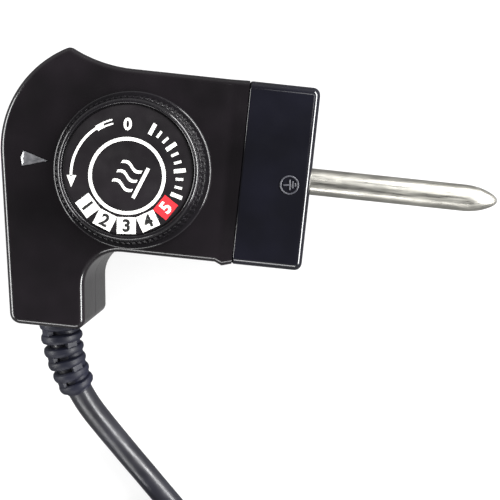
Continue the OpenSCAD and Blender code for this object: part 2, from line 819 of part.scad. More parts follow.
// Cam with a spiral face: its underside rises evenly over the dial's travel, then falls back
cam_from = 180 - turn_to_off - cam_margin;
cam_to = 180 + turn_to_full + cam_margin;
function cam_face(a) =
    let (b = a < cam_from ? a + 360 : a)
    nub_z + cam_clear + (b <= cam_to ? cam_rise * (b - 180) / 360 :
        cam_rise * ((cam_to - 180) - (b - cam_to) * (cam_to - cam_from) / (360 - cam_to + cam_from)) / 360);
module dial_cam() {
    angles = [for (i = [0:cam_steps - 1]) 360 * i / cam_steps];
    n = cam_steps;
    points = concat(
        [for (a = angles) [cam_r * cos(a), cam_r * sin(a), cam_face(a)]],
        [for (a = angles) [cam_r * cos(a), cam_r * sin(a), cam_top]],
        [for (a = angles) [cam_pin_r * cos(a), cam_pin_r * sin(a), cam_top]],
        [for (a = angles) [cam_pin_r * cos(a), cam_pin_r * sin(a), cam_face(a)]]
    );
    color("#e6e0d2")
    translate([dial_x, dial_y, 0]) difference() {
        polyhedron(points = points, faces = [for (k = [0:3]) for (i = [0:n - 1])
            let (j = (i + 1) % n, m = (k + 1) % 4)
            each [[k * n + i, m * n + i, m * n + j], [k * n + i, m * n + j, k * n + j]]]);
        translate([0, 0, nub_z - 2 * cam_rise]) cylinder(h = hood_h, r = cam_pin_r + seat_gap);
    }
}

module dial_shaft() {
    z1 = z_top + dial_gap + shaft_seat;
    color("#b9b7b0")
    translate([dial_x, dial_y, 0]) {
        translate([0, 0, cam_face(180)]) cylinder(h = cam_top - cam_face(180), r = cam_pin_r);
        difference() {
            translate([0, 0, cam_top]) cylinder(h = z1 - cam_top, r = shaft_d / 2);
            translate([shaft_d / 2 - shaft_flat, -shaft_d, z_top]) cube([shaft_d, 2 * shaft_d, hood_h]);
        }
    }
}
module shaft_clip() {
    color("#8f9092")
    translate([dial_x, dial_y, frame_top + bush_flange_t + seat_gap]) difference() {
        cylinder(h = clip_t, r = clip_r);
        translate([0, 0, -over]) cylinder(h = clip_t + 2 * over, r = shaft_d / 2);
        translate([0, -shaft_d / 3, -over]) cube([2 * clip_r, shaft_d / 1.5, clip_t + 2 * over]);
    }
}

// Knob: a thin skirt, a wall of fine upright ribs, a rounded rim and a sunk face
module dial_knob() {
    foot = z_top + dial_gap;
    top = z_top + dial_h;
    wall_foot = foot + skirt_h;
    rim_fall = 1.6;
    under = 2;
    rib_w = grip_r_foot * sin(180 / grip_ribs);
    rib_root = 1.1;
    rib_short = 0.25;
    rib_top = top - rim_fall - rib_short;
    rib_proud = 0.4;
    rim_spread = 0.1;
    face_bevel = 0.3;
    color("#141214")
    translate([dial_x, dial_y, 0]) difference() {
        union() {
            rotate_extrude($fn = 96) polygon([
                [0, foot], [skirt_r - 0.3 * skirt_h, foot], [skirt_r, foot + 0.3 * skirt_h], [skirt_r, wall_foot - 0.5 * skirt_h],
                [skirt_r - 0.5 * skirt_h, wall_foot], [grip_r_foot - rib_proud, wall_foot],
                [grip_r_top - rib_proud, top - rim_fall], [rim_r + rim_spread, top - 0.3 * rim_fall],
                [rim_r - 0.25 * rim_fall, top], [face_r + face_bevel, top],
                [face_r, top - face_sink], [0, top - face_sink]
            ]);
            for (i = [0:grip_ribs - 1])
                rotate([0, 0, 360 * i / grip_ribs]) rotate([90, 0, 0])
                    translate([0, 0, -rib_w / 2]) linear_extrude(rib_w) polygon([
                        [grip_r_foot - rib_root, wall_foot - seat_gap], [grip_r_foot, wall_foot - seat_gap],
                        [grip_r_top, rib_top], [grip_r_top - rib_root, rib_top]
                    ]);
        }
        difference() {
            translate([0, 0, foot - over]) cylinder(h = top - face_sink - under - foot + over, r = grip_r_top - under);
            translate([0, 0, foot - 2 * over]) cylinder(h = hood_h, r = hub_r);
        }
        translate([0, 0, top - face_sink - face_t]) cylinder(h = hood_h, r = face_r - face_seat);
        difference() {
            translate([0, 0, foot - over]) cylinder(h = shaft_seat + over, r = shaft_d / 2 + run_gap);
            translate([shaft_d / 2 - shaft_flat + run_gap, -shaft_d, foot - 2 * over]) cube([shaft_d, 2 * shaft_d, hood_h]);
        }
    }
}
module dial_face() {
    color("#1b191b")
    translate([dial_x, dial_y, z_top + dial_h - face_sink - face_t])
        cylinder(h = face_t, r = face_r - face_seat - seat_gap / 3, $fn = 96);
}

// Plan of the pointer's clear lens, grown by a gap
function lens_points(grow) = inset([
    [lens_back, lens_y + lens_half_w], [lens_back - lens_bow, lens_y], [lens_back, lens_y - lens_half_w], [lens_tip, lens_y]
], -grow);
module lens_plan(grow) {
    polygon(lens_points(grow));
}
module pointer_lens() {
    color([0.86, 0.86, 0.84, 0.8]) {
        translate([0, 0, z_top - wall - lens_flange_t / 2])
            stacked([
                [for (p = lens_points(0)) [p.x, p.y, 0]],
                [for (p = lens_points(0)) [p.x, p.y, wall + lens_flange_t / 2]],
                [for (p = lens_points(-lens_flange / 2)) [p.x, p.y, wall + lens_flange_t / 2 + lens_proud]]
            ]);
        translate([0, 0, z_top - wall - lens_flange_t]) linear_extrude(lens_flange_t) lens_plan(lens_flange);
    }
}
module neon_lamp() {
    color([0.9, 0.6, 0.45, 0.6]) turned_lamp(lens_y, lamp_r, lamp_l, lamp_lead_l);
}
module neon_resistor() {
    color("#b09a6a") turned_lamp(resistor_y, resistor_r, resistor_l, resistor_lead_l);
}
// A round-ended body along X with a lead at each end
module turned_lamp(y, r, length, lead_l) {
    ends = length / 2;
    translate([lamp_x, y, lamp_z]) turned_along_x([
        [-ends - lead_l, 0], [-ends - lead_l, lead_r], [-ends, lead_r], [-ends, r / 2], [-ends + r / 2, r],
        [ends - r / 2, r], [ends, r / 2], [ends, lead_r], [ends + lead_l, lead_r], [ends + lead_l, 0]
    ]);
}

module housing_screws() {
    color("#8f9092")
    for (p = screw_places) translate([p.x, p.y, z_table + screw_sink]) difference() {
        union() {
            translate([0, 0, -screw_head_t]) cylinder(h = screw_head_t, r = screw_head_r);
            translate([0, 0, -over / 2]) cylinder(h = screw_l + over / 2, r = screw_r);
        }
        for (a = [0, 90]) rotate([0, 0, a])
            translate([-0.7 * screw_head_r, -screw_slot_w / 2, -screw_head_t - over])
                cube([1.4 * screw_head_r, screw_slot_w, screw_slot_t + over]);
    }
}

// Clamp bar over the sheathed cord, and its two screws
module cord_clamp() {
    color("#2a2829")
    at_exit(clamp_in) difference() {
        translate([-clamp_w / 2, -clamp_at - clamp_post_r, 0])
            cube([clamp_w, 2 * (clamp_at + clamp_post_r), cord_d / 2 + seat_gap + clamp_t / 2]);
        translate([-clamp_w, 0, 0]) rotate([0, 90, 0]) cylinder(h = 2 * clamp_w, r = cord_d / 2 + seat_gap);
        for (side = [-1, 1]) translate([0, side * clamp_at, -over]) cylinder(h = hood_h, r = clamp_screw_r + run_gap);
    }
}
module clamp_screws() {
    top = cord_d / 2 + seat_gap + clamp_t / 2;
    color("#8f9092")
    at_exit(clamp_in) for (side = [-1, 1]) translate([0, side * clamp_at, top]) difference() {
        union() {
            cylinder(h = clamp_screw_head_t, r = clamp_screw_head_r);
            translate([0, 0, -clamp_screw_l]) cylinder(h = clamp_screw_l + clamp_screw_head_t / 2, r = clamp_screw_r);
        }
        translate([-clamp_screw_head_r, -screw_slot_w / 2, clamp_screw_head_t / 2]) cube([2 * clamp_screw_head_r, screw_slot_w, over]);
    }
}

// Route of the free cord's middle from the leg's end, as x, y and the share of the fall to the table
run_shares = [
    [0, 0, 0], [0.4, -3.4, 0.007], [1.1, -7.1, 0.03], [2.2, -11.1, 0.067], [3.7, -15.1, 0.119],
    [5.5, -19, 0.193], [7.5, -22.8, 0.289], [9.8, -26.6, 0.4], [12.5, -30.4, 0.526],
    [15.6, -34.5, 0.659], [19, -38.8, 0.793], [22.8, -43.3, 0.896], [27, -47.9, 0.963],
    [31.5, -52.6, 0.993], [36.3, -57.4, 1], [41.3, -62.4, 1], [46.2, -67.3, 0.978]
];
// Route from the coil to the plug, as x, y and the share of the coil's top layer above the table
tail_shares = [
    [37.5, -63.6, 1], [43.5, -63.6, 1], [49.5, -63.6, 0.963], [55.5, -63.7, 0.84], [61.5, -64.3, 0.654],
    [67.5, -65.7, 0.444], [73.3, -68.1, 0.259], [78.7, -71.4, 0.123], [83.5, -75.5, 0.037],
    [87.7, -80.3, 0], [91.1, -85.7, 0], [93.6, -91.5, 0], [95.1, -97.6, 0.025]
];
tail_end = exit_point + [95.5, -103.7, 0];
coil_from_exit = [55.7, -76.8];
coil_start = [exit_point.x, exit_point.y] + coil_from_exit;
coil_entry = 45;
coil_r = 45;
coil_turns = 4.875;
coil_pitch = 7.5;
coil_layer = 7.5;
coil_sides = 6;
loop_steps = 24;
tie_t = 0.6;
tie_w = 5;
tie_at = 160;
cord_r = cord_d / 2;
coil_z = z_table + tie_t + cord_r;
low_z = z_table + cord_r;
run_route = [for (p = run_shares) exit_point + [p.x, p.y, p.z * low_z]];
tail_route = [for (p = tail_shares) exit_point + [p.x, p.y, low_z + p.z * (tie_t + coil_layer)]];

function path_length(path) = len(path) < 2 ? 0 :
    [for (i = [1:len(path) - 1]) norm(path[i] - path[i - 1])] * [for (i = [1:len(path) - 1]) 1];
// The point at a distance along a path, and the rest of the path beyond it
function along(path, s, i = 0) =
    let (d = norm(path[i + 1] - path[i]))
    s <= d || i + 2 >= len(path) ? path[i] + (path[i + 1] - path[i]) * s / d : along(path, s - d, i + 1);
function beyond(path, s, i = 0) =
    let (d = norm(path[i + 1] - path[i]))
    s < d - 1 ? concat([along(path, s, i)], [for (k = [i + 1:len(path) - 1]) path[k]]) : beyond(path, s - d, i + 1);

// The coil: it spirals in on the lower layer, climbs in the half turn where it reverses, and spirals out
coil_centre = coil_start - coil_r * [cos(coil_entry), sin(coil_entry)];
function coil_point(t) =
    let (
        a = coil_entry - 360 * t,
        r = coil_r - coil_pitch * min(t, coil_turns - t),
        climb = max(0, min(1, (t - coil_turns / 2) * 2 + 0.5)),
        p = coil_centre + r * [cos(a), sin(a)]
    )
    [p.x, p.y, coil_z + coil_layer * (0.5 - 0.5 * cos(180 * climb))];
coil_loops = [for (i = [0:coil_turns * loop_steps]) coil_point(i / loop_steps)];
coil_last = len(coil_loops) - 1;
coil_in = coil_loops[0] + cord_d * [-sin(coil_entry), cos(coil_entry), 0];
coil_out = coil_loops[coil_last] + cord_d * [1, 0, 0];
coil_path = concat([coil_in], coil_loops, [coil_out]);
joint_lead = 2;
in_way = unit(coil_loops[0] - coil_in);
run_path = concat(beyond(run_route, relief_l), [coil_in - joint_lead * in_way, coil_in - seat_gap * in_way]);

// Least gap of the coil to itself, between points at least half a turn apart
coil_gap = min([for (i = [0:coil_last]) for (j = [i + loop_steps / 2:coil_last]) norm(coil_loops[i] - coil_loops[j])]) - cord_d;

// Plug: it lies on its rim and its heel, so its axis tilts up towards the pins
plug_rim_l = 9;
plug_r = plug_face_d / 2;
plug_heel_r = 10;
plug_relief_l = 19;
plug_heading = -90;
plug_tilt = atan((plug_r - plug_heel_r) / (plug_body_l - plug_rim_l));
plug_tail_z = z_table + plug_heel_r * cos(plug_tilt) - plug_relief_l * sin(plug_tilt);
plug_way = [0, -cos(plug_tilt), sin(plug_tilt)];
plug_start = [tail_end.x, tail_end.y, plug_tail_z];
tail_path = concat([coil_out + [seat_gap, 0, 0]], tail_route,
    [plug_start - joint_lead * plug_way, plug_start - seat_gap * plug_way]);
pin_root_step = 0.5;
pin_root_r = plug_pin_d / 2 - pin_root_step;
pin_root_l = 10;
pin_step = 0.3;
pin_nose = 1.6;
plug_face_t = 2;
plug_rim_t = 2.2;
plug_face_r = plug_r - plug_rim_t;
earth_hole_r = 2.4;
earth_hole_at = 10;
earth_hole_l = 16;
clip_w = 9;
clip_metal_t = 0.6;
clip_spare = 1;
clip_l = plug_rim_l + clip_spare;
clip_sink = 1.6;

module strain_relief() {
    pitch = relief_l / relief_rings;
    groove_r = relief_neck_r - 0.7 * relief_wall;
    groove_fall = 0.3;
    fall = 1.1;
    shares = [0, 0.24, 0.32, 0.8, 0.88];
    grown_shares = [0, 0, 1, 1, 0];
    steps = [for (k = [0:relief_rings - 1]) for (s = [0:len(shares) - 1]) [(k + shares[s]) * pitch, grown_shares[s]]];
    color("#191819") {
        swept(
            [for (s = steps) along(run_route, s.x)],
            [for (s = steps) s.y == 0 ? groove_r - groove_fall * s.x / relief_l :
                relief_neck_r + relief_wall - fall * s.x / relief_l],
            16
        );
        at_exit(flange_in) rotate([0, 90, 0]) cylinder(h = flange_in + run_gap, r = relief_neck_r);
        at_exit(sheath_in) rotate([0, 90, 0]) cylinder(h = relief_flange_t, r = relief_flange_r);
    }
}
module cord_end() {
    color("#1d1c1d")
    at_exit(sheath_in + sheath_l) rotate([0, 90, 0]) cylinder(h = sheath_l, r = cord_r);
}
module cord_run() {
    color("#1d1c1d") wire_of_cord(run_path, 10);
}
module wire_of_cord(path, sides) {
    swept(path, [for (p = path) cord_r], sides);
}
module cord_coil() {
    color("#1d1c1d") wire_of_cord(coil_path, coil_sides);
}
module cord_tail() {
    color("#1d1c1d") wire_of_cord(tail_path, 10);
}

// Strap round all the turns of the coil
module coil_tie() {
    slack = 0.4;
    near = coil_r - coil_pitch * coil_turns / 2 - cord_r - slack;
    far = coil_r + cord_r + slack;
    foot = z_table + tie_t;
    top = coil_z + coil_layer + cord_r + slack;
    color("#2a2829")
    translate([coil_centre.x, coil_centre.y, 0]) rotate([90, 0, tie_at]) translate([0, 0, -tie_w / 2])
        linear_extrude(tie_w) difference() {
            rounded_box(near - tie_t, far + tie_t, foot - tie_t, top + tie_t, cord_r);
            rounded_box(near, far, foot, top, cord_r - tie_t);
        }
}
module rounded_box(x0, x1, y0, y1, r) {
    hull() for (x = [x0 + r, x1 - r], y = [y0 + r, y1 - r]) translate([x, y]) circle(r, $fn = hull_facets);
}

// Places the plug: its own +X runs from its heel to its face
module at_plug() {
    translate([tail_end.x, tail_end.y, plug_tail_z]) rotate([0, 0, plug_heading]) rotate([0, -plug_tilt, 0])
        translate([plug_relief_l, 0, 0]) children();
}
module plug_body() {
    waist = plug_heel_r + 0.42 * (plug_r - plug_heel_r);
    face = plug_body_l;
    rim = plug_body_l - plug_rim_l;
    heel_round = 1;
    flare_l = 4;
    flare_h = 3;
    rim_round = 0.8;
    face_round = 0.6;
    color("#1b1a1b") at_plug() difference() {
        turned_along_x([
            [0, 0], [0, plug_heel_r - heel_round], [heel_round, plug_heel_r], [0.4 * face, waist],
            [rim - flare_l, plug_r - flare_h], [rim - rim_round, plug_r - rim_round], [rim, plug_r],
            [face - face_round, plug_r], [face, plug_r - face_round],
            [face, plug_face_r + seat_gap], [face - plug_face_t, plug_face_r + seat_gap],
            [face - plug_face_t, 0]
        ]);
        for (side = [-1, 1]) {
            translate([face - pin_root_l, side * plug_pin_pitch / 2, 0])
                rotate([0, 90, 0]) cylinder(h = pin_root_l + over, r = pin_root_r + seat_gap);
            translate([face - clip_l, -clip_w / 2 - seat_gap, side * (plug_r - clip_sink / 2) - clip_sink / 2])
                cube([clip_l + over, clip_w + 2 * seat_gap, clip_sink]);
        }
        translate([face - earth_hole_l, 0, earth_hole_at]) rotate([0, 90, 0]) cylinder(h = earth_hole_l, r = earth_hole_r);
    }
}
module plug_face() {
    color("#d8d5cf") at_plug() translate([plug_body_l - plug_face_t, 0, 0]) difference() {
        rotate([0, 90, 0]) cylinder(h = plug_face_t, r = plug_face_r);
        for (side = [-1, 1]) translate([-over, side * plug_pin_pitch / 2, 0])
            rotate([0, 90, 0]) cylinder(h = plug_face_t + 2 * over, r = pin_root_r + seat_gap);
        translate([-over, 0, earth_hole_at]) rotate([0, 90, 0]) cylinder(h = plug_face_t + 2 * over, r = earth_hole_r);
    }
}
module plug_pins() {
    r = plug_pin_d / 2;
    color("#c9c6bd") at_plug() for (side = [-1, 1]) translate([plug_body_l, side * plug_pin_pitch / 2, 0])
        turned_along_x(concat(
            [[-pin_root_l, 0], [-pin_root_l, pin_root_r], [pin_step, pin_root_r], [pin_step, r],
                [plug_pin_l - pin_nose, r]],
            [for (k = [1:4]) let (a = 90 * k / 4) [plug_pin_l - pin_nose + pin_nose * sin(a), r - pin_nose + pin_nose * cos(a)]],
            [[plug_pin_l, 0]]
        ));
}
module plug_earth_clips() {
    color("#c9c6bd") at_plug() for (side = [-1, 1])
        translate([plug_body_l - clip_l + seat_gap, -clip_w / 2, side * (plug_r - clip_sink) + (side < 0 ? -clip_metal_t : 0)])
            cube([clip_l - 2 * seat_gap, clip_w, clip_metal_t]);
}
module plug_relief() {
    rings = 5;
    pitch = plug_relief_l / rings;
    growth = 0.3;
    thin = 0.1;
    thick = 0.5;
    color("#191819") at_plug() turned_along_x(concat(
        [[-plug_relief_l, 0], [-plug_relief_l, cord_r + thick]],
        [for (k = [0:rings - 1]) let (ring_r = cord_r + thick + growth * k, groove_r = cord_r + thin + 2 / 3 * growth * k) each [
            [(k - rings + 0.6) * pitch, ring_r], [(k - rings + 0.65) * pitch, groove_r],
            [(k - rings + 0.9) * pitch, groove_r], [(k - rings + 0.95) * pitch, ring_r + growth]
        ]],
        [[0, cord_r + thick + growth * (rings + 1)], [0, 0]]
    ));
}

// Insulated wires: three cores leave the sheath in a triangle and run to the terminals
wire_r = 1.1;
core_r = 1.6;
jumper_r = 0.8;
wire_gap = 0.25;
wire_lead = 1.5;
wire_root = 3.37;
leg_lead = max(wire_lead, leg_reach - half_w - sheath_in - sheath_l - wire_root);
wire_bend = 8;
up = [0, 0, 1];
inward = -[cos(exit_heading), sin(exit_heading), 0];
across = cross(inward, up);
sheath_end = exit_point + (sheath_in + sheath_l) * inward;
tab_end = block_x - sleeve_flange_t - tab_l - wire_gap;
boss_side = half_w - wall - screw_in - screw_boss_r;
live_end = [live_tab_x - wire_gap, -bracket_half_w - tab_l + wire_r, bracket_z + bracket_t / 2];
neutral_end = [tab_end, -(contact_pitch - tab_w) / 2 - wire_r, 0];
neutral_turn = [neutral_end.x - wire_bend / 2, -(frame_half_w + boss_side) / 2, 0];
jumper_end = [tab_end, (contact_pitch - tab_w) / 2 + jumper_r, 0];
jumper_start = [lever_x - lever_t / 2 - rivet_r - jumper_r, 0, contact_z];
earth_end = [frame_back + frame_t / 2, -frame_half_w - wire_gap, earth_z];

// The first points of a wire, whose core lies at an angle round the sheath's middle
function wire_start(angle) = sheath_end + wire_gap * inward + core_r * (cos(angle) * across + sin(angle) * up);
function wire_turn(angle) = wire_start(angle) + leg_lead * inward;
// Even steps from a to b, whose height changes gently at both ends
function eased(a, b, steps) = [for (i = [0:steps]) let (share = i / steps, e = share * share * (3 - 2 * share))
    [a.x + (b.x - a.x) * share, a.y + (b.y - a.y) * share, a.z + (b.z - a.z) * e]];
module live_wire() {
    angle = 270;
    color("#5a3420")
    wire(concat([wire_start(angle)], eased(wire_turn(angle), live_end - [wire_bend, 0, 0], 8),
        [live_end - [wire_lead, 0, 0], live_end]), wire_r);
}
module neutral_wire() {
    angle = 30;
    color("#2a5fa8")
    wire(concat([wire_start(angle)], eased(wire_turn(angle), neutral_turn, 8),
        [neutral_end - [wire_lead, 0, 0], neutral_end]), wire_r);
}
module earth_wire() {
    angle = 150;
    color("#5f8f2f")
    wire(concat([wire_start(angle)], eased(wire_turn(angle), earth_end - [0, wire_bend / 2, 0], 5),
        [earth_end - [0, wire_lead, 0], earth_end]), wire_r);
}
module jumper_wire() {
    side = [lever_x, frame_half_w + 2 * jumper_r, contact_z / 2];
    color("#5a3420")
    wire(concat([jumper_start, jumper_start + [-lever_t / 2, lever_half_w / 2, 0], [jumper_start.x, lever_half_w, contact_z]],
        eased(side, jumper_end - [wire_bend / 2, wire_lead, 0], 3),
        [jumper_end - [wire_lead, 0, 0], jumper_end]), jumper_r);
}

echo(coil_gap = coil_gap, run = path_length(run_path) + relief_l, coil = path_length(coil_path), tail = path_length(tail_path) + plug_relief_l);
echo(plug_tilt = plug_tilt, plug_tail_z = plug_tail_z, lever_ratio = -cam_rise / arm_l / 360 * 180 / PI, blade_ratio = 1 / (0 - blade_pivot_z));
upper_housing();
lower_housing();
contact_hood();
contact_block();
contact_sleeve_left();
contact_sleeve_right();
earth_spring();
probe_tube();
probe_nut();
mech_frame();
shaft_bush();
blade_washers();
stack_rivet();
blade_bracket();
hinge_pins();
pointer_lens();
neon_lamp();
neon_resistor();
live_wire();
neutral_wire();
earth_wire();
jumper_wire();
cord_clamp();
clamp_screws();
housing_screws();
strain_relief();
cord_end();
cord_run();
cord_coil();
cord_tail();
coil_tie();
plug_body();
plug_face();
plug_pins();
plug_earth_clips();
plug_relief();
dial_knob();
dial_face();
dial_shaft();
shaft_clip();
dial_cam();
expansion_rod();
contact_blade();
blade_contact();
set_lever();
lever_contact();
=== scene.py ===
"""Griddle thermostat cord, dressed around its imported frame: casing, hood, dial, lens, cord and plug."""

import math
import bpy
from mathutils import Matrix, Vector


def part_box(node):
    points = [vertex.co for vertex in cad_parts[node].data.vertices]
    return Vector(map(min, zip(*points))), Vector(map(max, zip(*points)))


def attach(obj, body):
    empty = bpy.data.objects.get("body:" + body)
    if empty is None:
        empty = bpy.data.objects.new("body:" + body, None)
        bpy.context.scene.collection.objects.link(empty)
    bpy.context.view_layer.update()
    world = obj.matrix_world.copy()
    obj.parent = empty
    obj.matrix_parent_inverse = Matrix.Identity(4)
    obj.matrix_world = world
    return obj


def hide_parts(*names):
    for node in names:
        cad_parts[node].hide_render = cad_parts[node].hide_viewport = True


bl_info = {
    "name": "Griddle thermostat cord",
    "version": (1, 0, 0),
    "blender": (4, 5, 0),
    "location": "View3D > Sidebar > Thermostat",
    "description": "Builds the looks of a plug-in griddle control around its frame",
    "category": "Add Mesh",
}

import bpy
from bpy.props import FloatProperty, FloatVectorProperty, IntProperty, PointerProperty
from mathutils import Matrix, Vector

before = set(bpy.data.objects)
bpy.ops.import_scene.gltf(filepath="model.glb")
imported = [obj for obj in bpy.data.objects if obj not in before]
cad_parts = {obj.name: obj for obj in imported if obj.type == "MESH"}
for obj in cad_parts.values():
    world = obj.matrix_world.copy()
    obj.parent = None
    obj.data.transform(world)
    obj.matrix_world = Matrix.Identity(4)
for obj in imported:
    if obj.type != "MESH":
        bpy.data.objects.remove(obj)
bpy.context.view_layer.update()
MM = 0.001


# Sizes that several pieces share, in millimetres, as the solids have them

FRONT_X = -18.5  # where the body's ramp ends at the hood
RAMP = 4.5
BACK_X = -82.0
HALF_W = 24.0
TABLE_Z = -17.0
HOOD_Z = 17.0
TOP_Z = 15.8  # the casing's top, a step below the hood's
WALL = 2.2
DIAL = Vector((-46.5, -2.4, 0.0))
EXIT = Vector((-65.521, -45.9, 0.0))  # middle of the cord's hole in the leg
EXIT_HEADING = math.radians(-83)
EXIT_WAY = Vector((math.cos(EXIT_HEADING), math.sin(EXIT_HEADING), 0))
CORD_R = 3.5


def near(a, b):
    """Whether two lengths in mm are the same to a micrometre."""
    return abs(a - b) < 1e-3


# Selecting and shaping


def clear_selection():
    if bpy.context.mode != "OBJECT":
        bpy.ops.object.mode_set(mode="OBJECT")
    bpy.ops.object.select_all(action="DESELECT")


def only(obj):
    clear_selection()
    obj.select_set(True)
    bpy.context.view_layer.objects.active = obj


def every(test):
    """A test for an element all of whose points in mm pass a test."""
    return lambda points: all(test(p) for p in points)


def pick(obj, kind, test=lambda points: True):
    """Edit mode on obj, with the vertices, edges or faces selected whose list of points passes the test."""
    only(obj)
    mesh = obj.data
    groups = {"VERT": mesh.vertices, "EDGE": mesh.edges, "FACE": mesh.polygons}
    for group in groups.values():
        group.foreach_set("select", [False] * len(group))
    places = [v.co / MM for v in mesh.vertices]
    for element in groups[kind]:
        corners = [element.index] if kind == "VERT" else element.vertices
        element.select = test([places[i] for i in corners])
    bpy.context.tool_settings.mesh_select_mode = [kind == k for k in groups]
    bpy.ops.object.mode_set(mode="EDIT")


def done():
    """Back from edit mode to object mode."""
    bpy.ops.object.mode_set(mode="OBJECT")


def extrude(vector):
    """Extrudes what is selected, by a vector in mm."""
    bpy.ops.mesh.extrude_region_move(TRANSFORM_OT_translate={"value": [c * MM for c in vector]})


def outwards(obj):
    """Merges the points that fall together and turns every face outwards."""
    pick(obj, "FACE")
    bpy.ops.mesh.remove_doubles(threshold=1e-6)
    bpy.ops.mesh.normals_make_consistent(inside=False)
    done()


def settle(obj):
    """The object's own place, turn and scale go into its mesh."""
    only(obj)
    bpy.ops.object.transform_apply(location=True, rotation=True, scale=True)


def put(obj, x=0, y=0, z=0, turn=0):
    """Sets a piece at a place in mm, turned about Z by degrees, and settles it."""
    obj.location = (x * MM, y * MM, z * MM)
    obj.rotation_euler.z = math.radians(turn)
    settle(obj)
    return obj


def lay_along_x(obj):
    """Turns a piece that was made upright so that it runs along X."""
    obj.rotation_euler.y = math.radians(90)
    settle(obj)
    return obj


def aim(obj, origin, way):
    """Turns a piece that was made upright to a direction, at a place in mm."""
    z = Vector(way).normalized()
    x = Vector((0, 0, 1)).cross(z).normalized()
    turn = Matrix((x, z.cross(x), z)).transposed().to_4x4()
    obj.matrix_world = Matrix.Translation(Vector(origin) * MM) @ turn
    settle(obj)
    return obj


def named(name):
    obj = bpy.context.active_object
    obj.name = obj.data.name = name
    return obj


def prism(name, points, z0, z1):
    """An upright solid on an outline in mm: a circle that is moved onto the outline, then extruded."""
    clear_selection()
    bpy.ops.mesh.primitive_circle_add(vertices=len(points), radius=MM, fill_type="NGON")
    obj = named(name)
    for v, p in zip(obj.data.vertices, points):
        v.co = (p[0] * MM, p[1] * MM, z0 * MM)
    pick(obj, "FACE")
    extrude((0, 0, z1 - z0))
    done()
    outwards(obj)
    return obj


def block(name, low, high):
    clear_selection()
    low, high = Vector(low) * MM, Vector(high) * MM
    bpy.ops.mesh.primitive_cube_add(size=1, location=(low + high) / 2)
    obj = named(name)
    obj.scale = high - low
    settle(obj)
    return obj


def turned(name, profile, steps=96):
    """A lathe form: a ring that is extruded and scaled along a profile of [radius, height] in mm.

    The profile ends on the axis, or where it began. Its first end is closed too.
    """
    clear_selection()
    first_r, first_z = radius, height = profile[0]
    bpy.ops.mesh.primitive_circle_add(vertices=steps, radius=radius * MM, location=(0, 0, 0))
    obj = named(name)
    pick(obj, "EDGE")
    bpy.ops.transform.translate(value=(0, 0, height * MM))
    for r, z in profile[1:]:
        extrude((0, 0, z - height))
        if r <= 0:
            bpy.ops.mesh.merge(type="CENTER")
            break
        bpy.ops.transform.resize(value=(r / radius, r / radius, 1), center_override=(0, 0, z * MM))
        radius, height = r, z
    done()
    if profile[-1] != profile[0]:
        pick(obj, "EDGE", every(lambda p: near(p.z, first_z) and near(p.xy.length, first_r)))
        extrude((0, 0, 0))
        bpy.ops.mesh.merge(type="CENTER")
        done()
    outwards(obj)
    return obj


def peg(name, place, low, high, r0, r1=None, steps=32):
    """A round post or cutter between two heights, with a radius at its foot and at its top."""
    return put(turned(name, [(r0, low), (r1 or r0, high), (0, high)], steps), place[0], place[1])


def round_edges(obj, test, width, segments):
    pick(obj, "EDGE", test)
    bpy.ops.mesh.bevel(offset=width * MM, segments=segments, affect="EDGES", profile=0.5)
    done()


def pull(obj, test, vector):
    """Extrudes the faces whose points pass the test, by a vector in mm."""
    pick(obj, "FACE", every(test))
    extrude(vector)
    done()


def shift(obj, test, vector):
    """Moves the points that pass the test, by a vector in mm."""
    pick(obj, "VERT", every(test))
    bpy.ops.transform.translate(value=Vector(vector) * MM)
    done()


def finish_with(obj, kind, **settings):
    """Adds a modifier and applies it."""
    only(obj)
    modifier = obj.modifiers.new(kind.title(), kind)
    for key, value in settings.items():
        setattr(modifier, key, value)
    bpy.ops.object.modifier_apply(modifier=modifier.name)


def break_edges(obj, width, segments=2, angle=40):
    """Rounds every edge that is sharper than an angle."""
    finish_with(obj, "BEVEL", width=width * MM, segments=segments, limit_method="ANGLE",
        angle_limit=math.radians(angle))


def drop(*objects):
    clear_selection()
    for obj in objects:
        obj.select_set(True)
    bpy.ops.object.delete()


def combine(obj, operation, *others):
    for other in others:
        finish_with(obj, "BOOLEAN", operation=operation, object=other, solver="EXACT")
        outwards(obj)
    drop(*others)


def cut(obj, *cutters):
    combine(obj, "DIFFERENCE", *cutters)


def fuse(obj, *others):
    combine(obj, "UNION", *others)


def joined(first, *others):
    only(first)
    for obj in others:
        obj.select_set(True)
    if others:
        bpy.ops.object.join()
    return first


def smooth(obj, angle=32):
    """Smooth shading up to an angle, weighted so that flat faces stay flat."""
    only(obj)
    bpy.ops.object.shade_smooth_by_angle(angle=math.radians(angle))
    finish_with(obj, "WEIGHTED_NORMAL", keep_sharp=True, weight=80)


def dress(obj, finish, slot, body, *replaced):
    """Gives a finished piece its material and its body, and hides the solids it stands for. Its slot is not
    used.
    """
    obj.data.materials.clear()
    obj.data.materials.append(MATERIALS[finish])
    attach(obj, body)
    if replaced:
        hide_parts(*replaced)


# Outline of the body in plan


def arc_points(centre, radius, start, end, steps):
    """Points on an arc between two angles in degrees."""
    angles = [math.radians(start + (end - start) * i / steps) for i in range(steps + 1)]
    return [(centre[0] + radius * math.cos(a), centre[1] + radius * math.sin(a)) for a in angles]


def corner(a, b, c, radius, steps):
    """The arc that rounds the corner b between the points a and c."""
    a, b, c = Vector(a), Vector(b), Vector(c)
    u, v = (a - b).normalized(), (c - b).normalized()
    half = math.acos(max(-1, min(1, u.dot(v)))) / 2
    centre = b + (u + v).normalized() * radius / math.sin(half)
    p, q = b + u * radius / math.tan(half) - centre, b + v * radius / math.tan(half) - centre
    start = math.degrees(math.atan2(p.y, p.x))
    turn = (math.degrees(math.atan2(q.y, q.x)) - start + 180) % 360 - 180
    return arc_points(centre, radius, start, start + turn, steps)


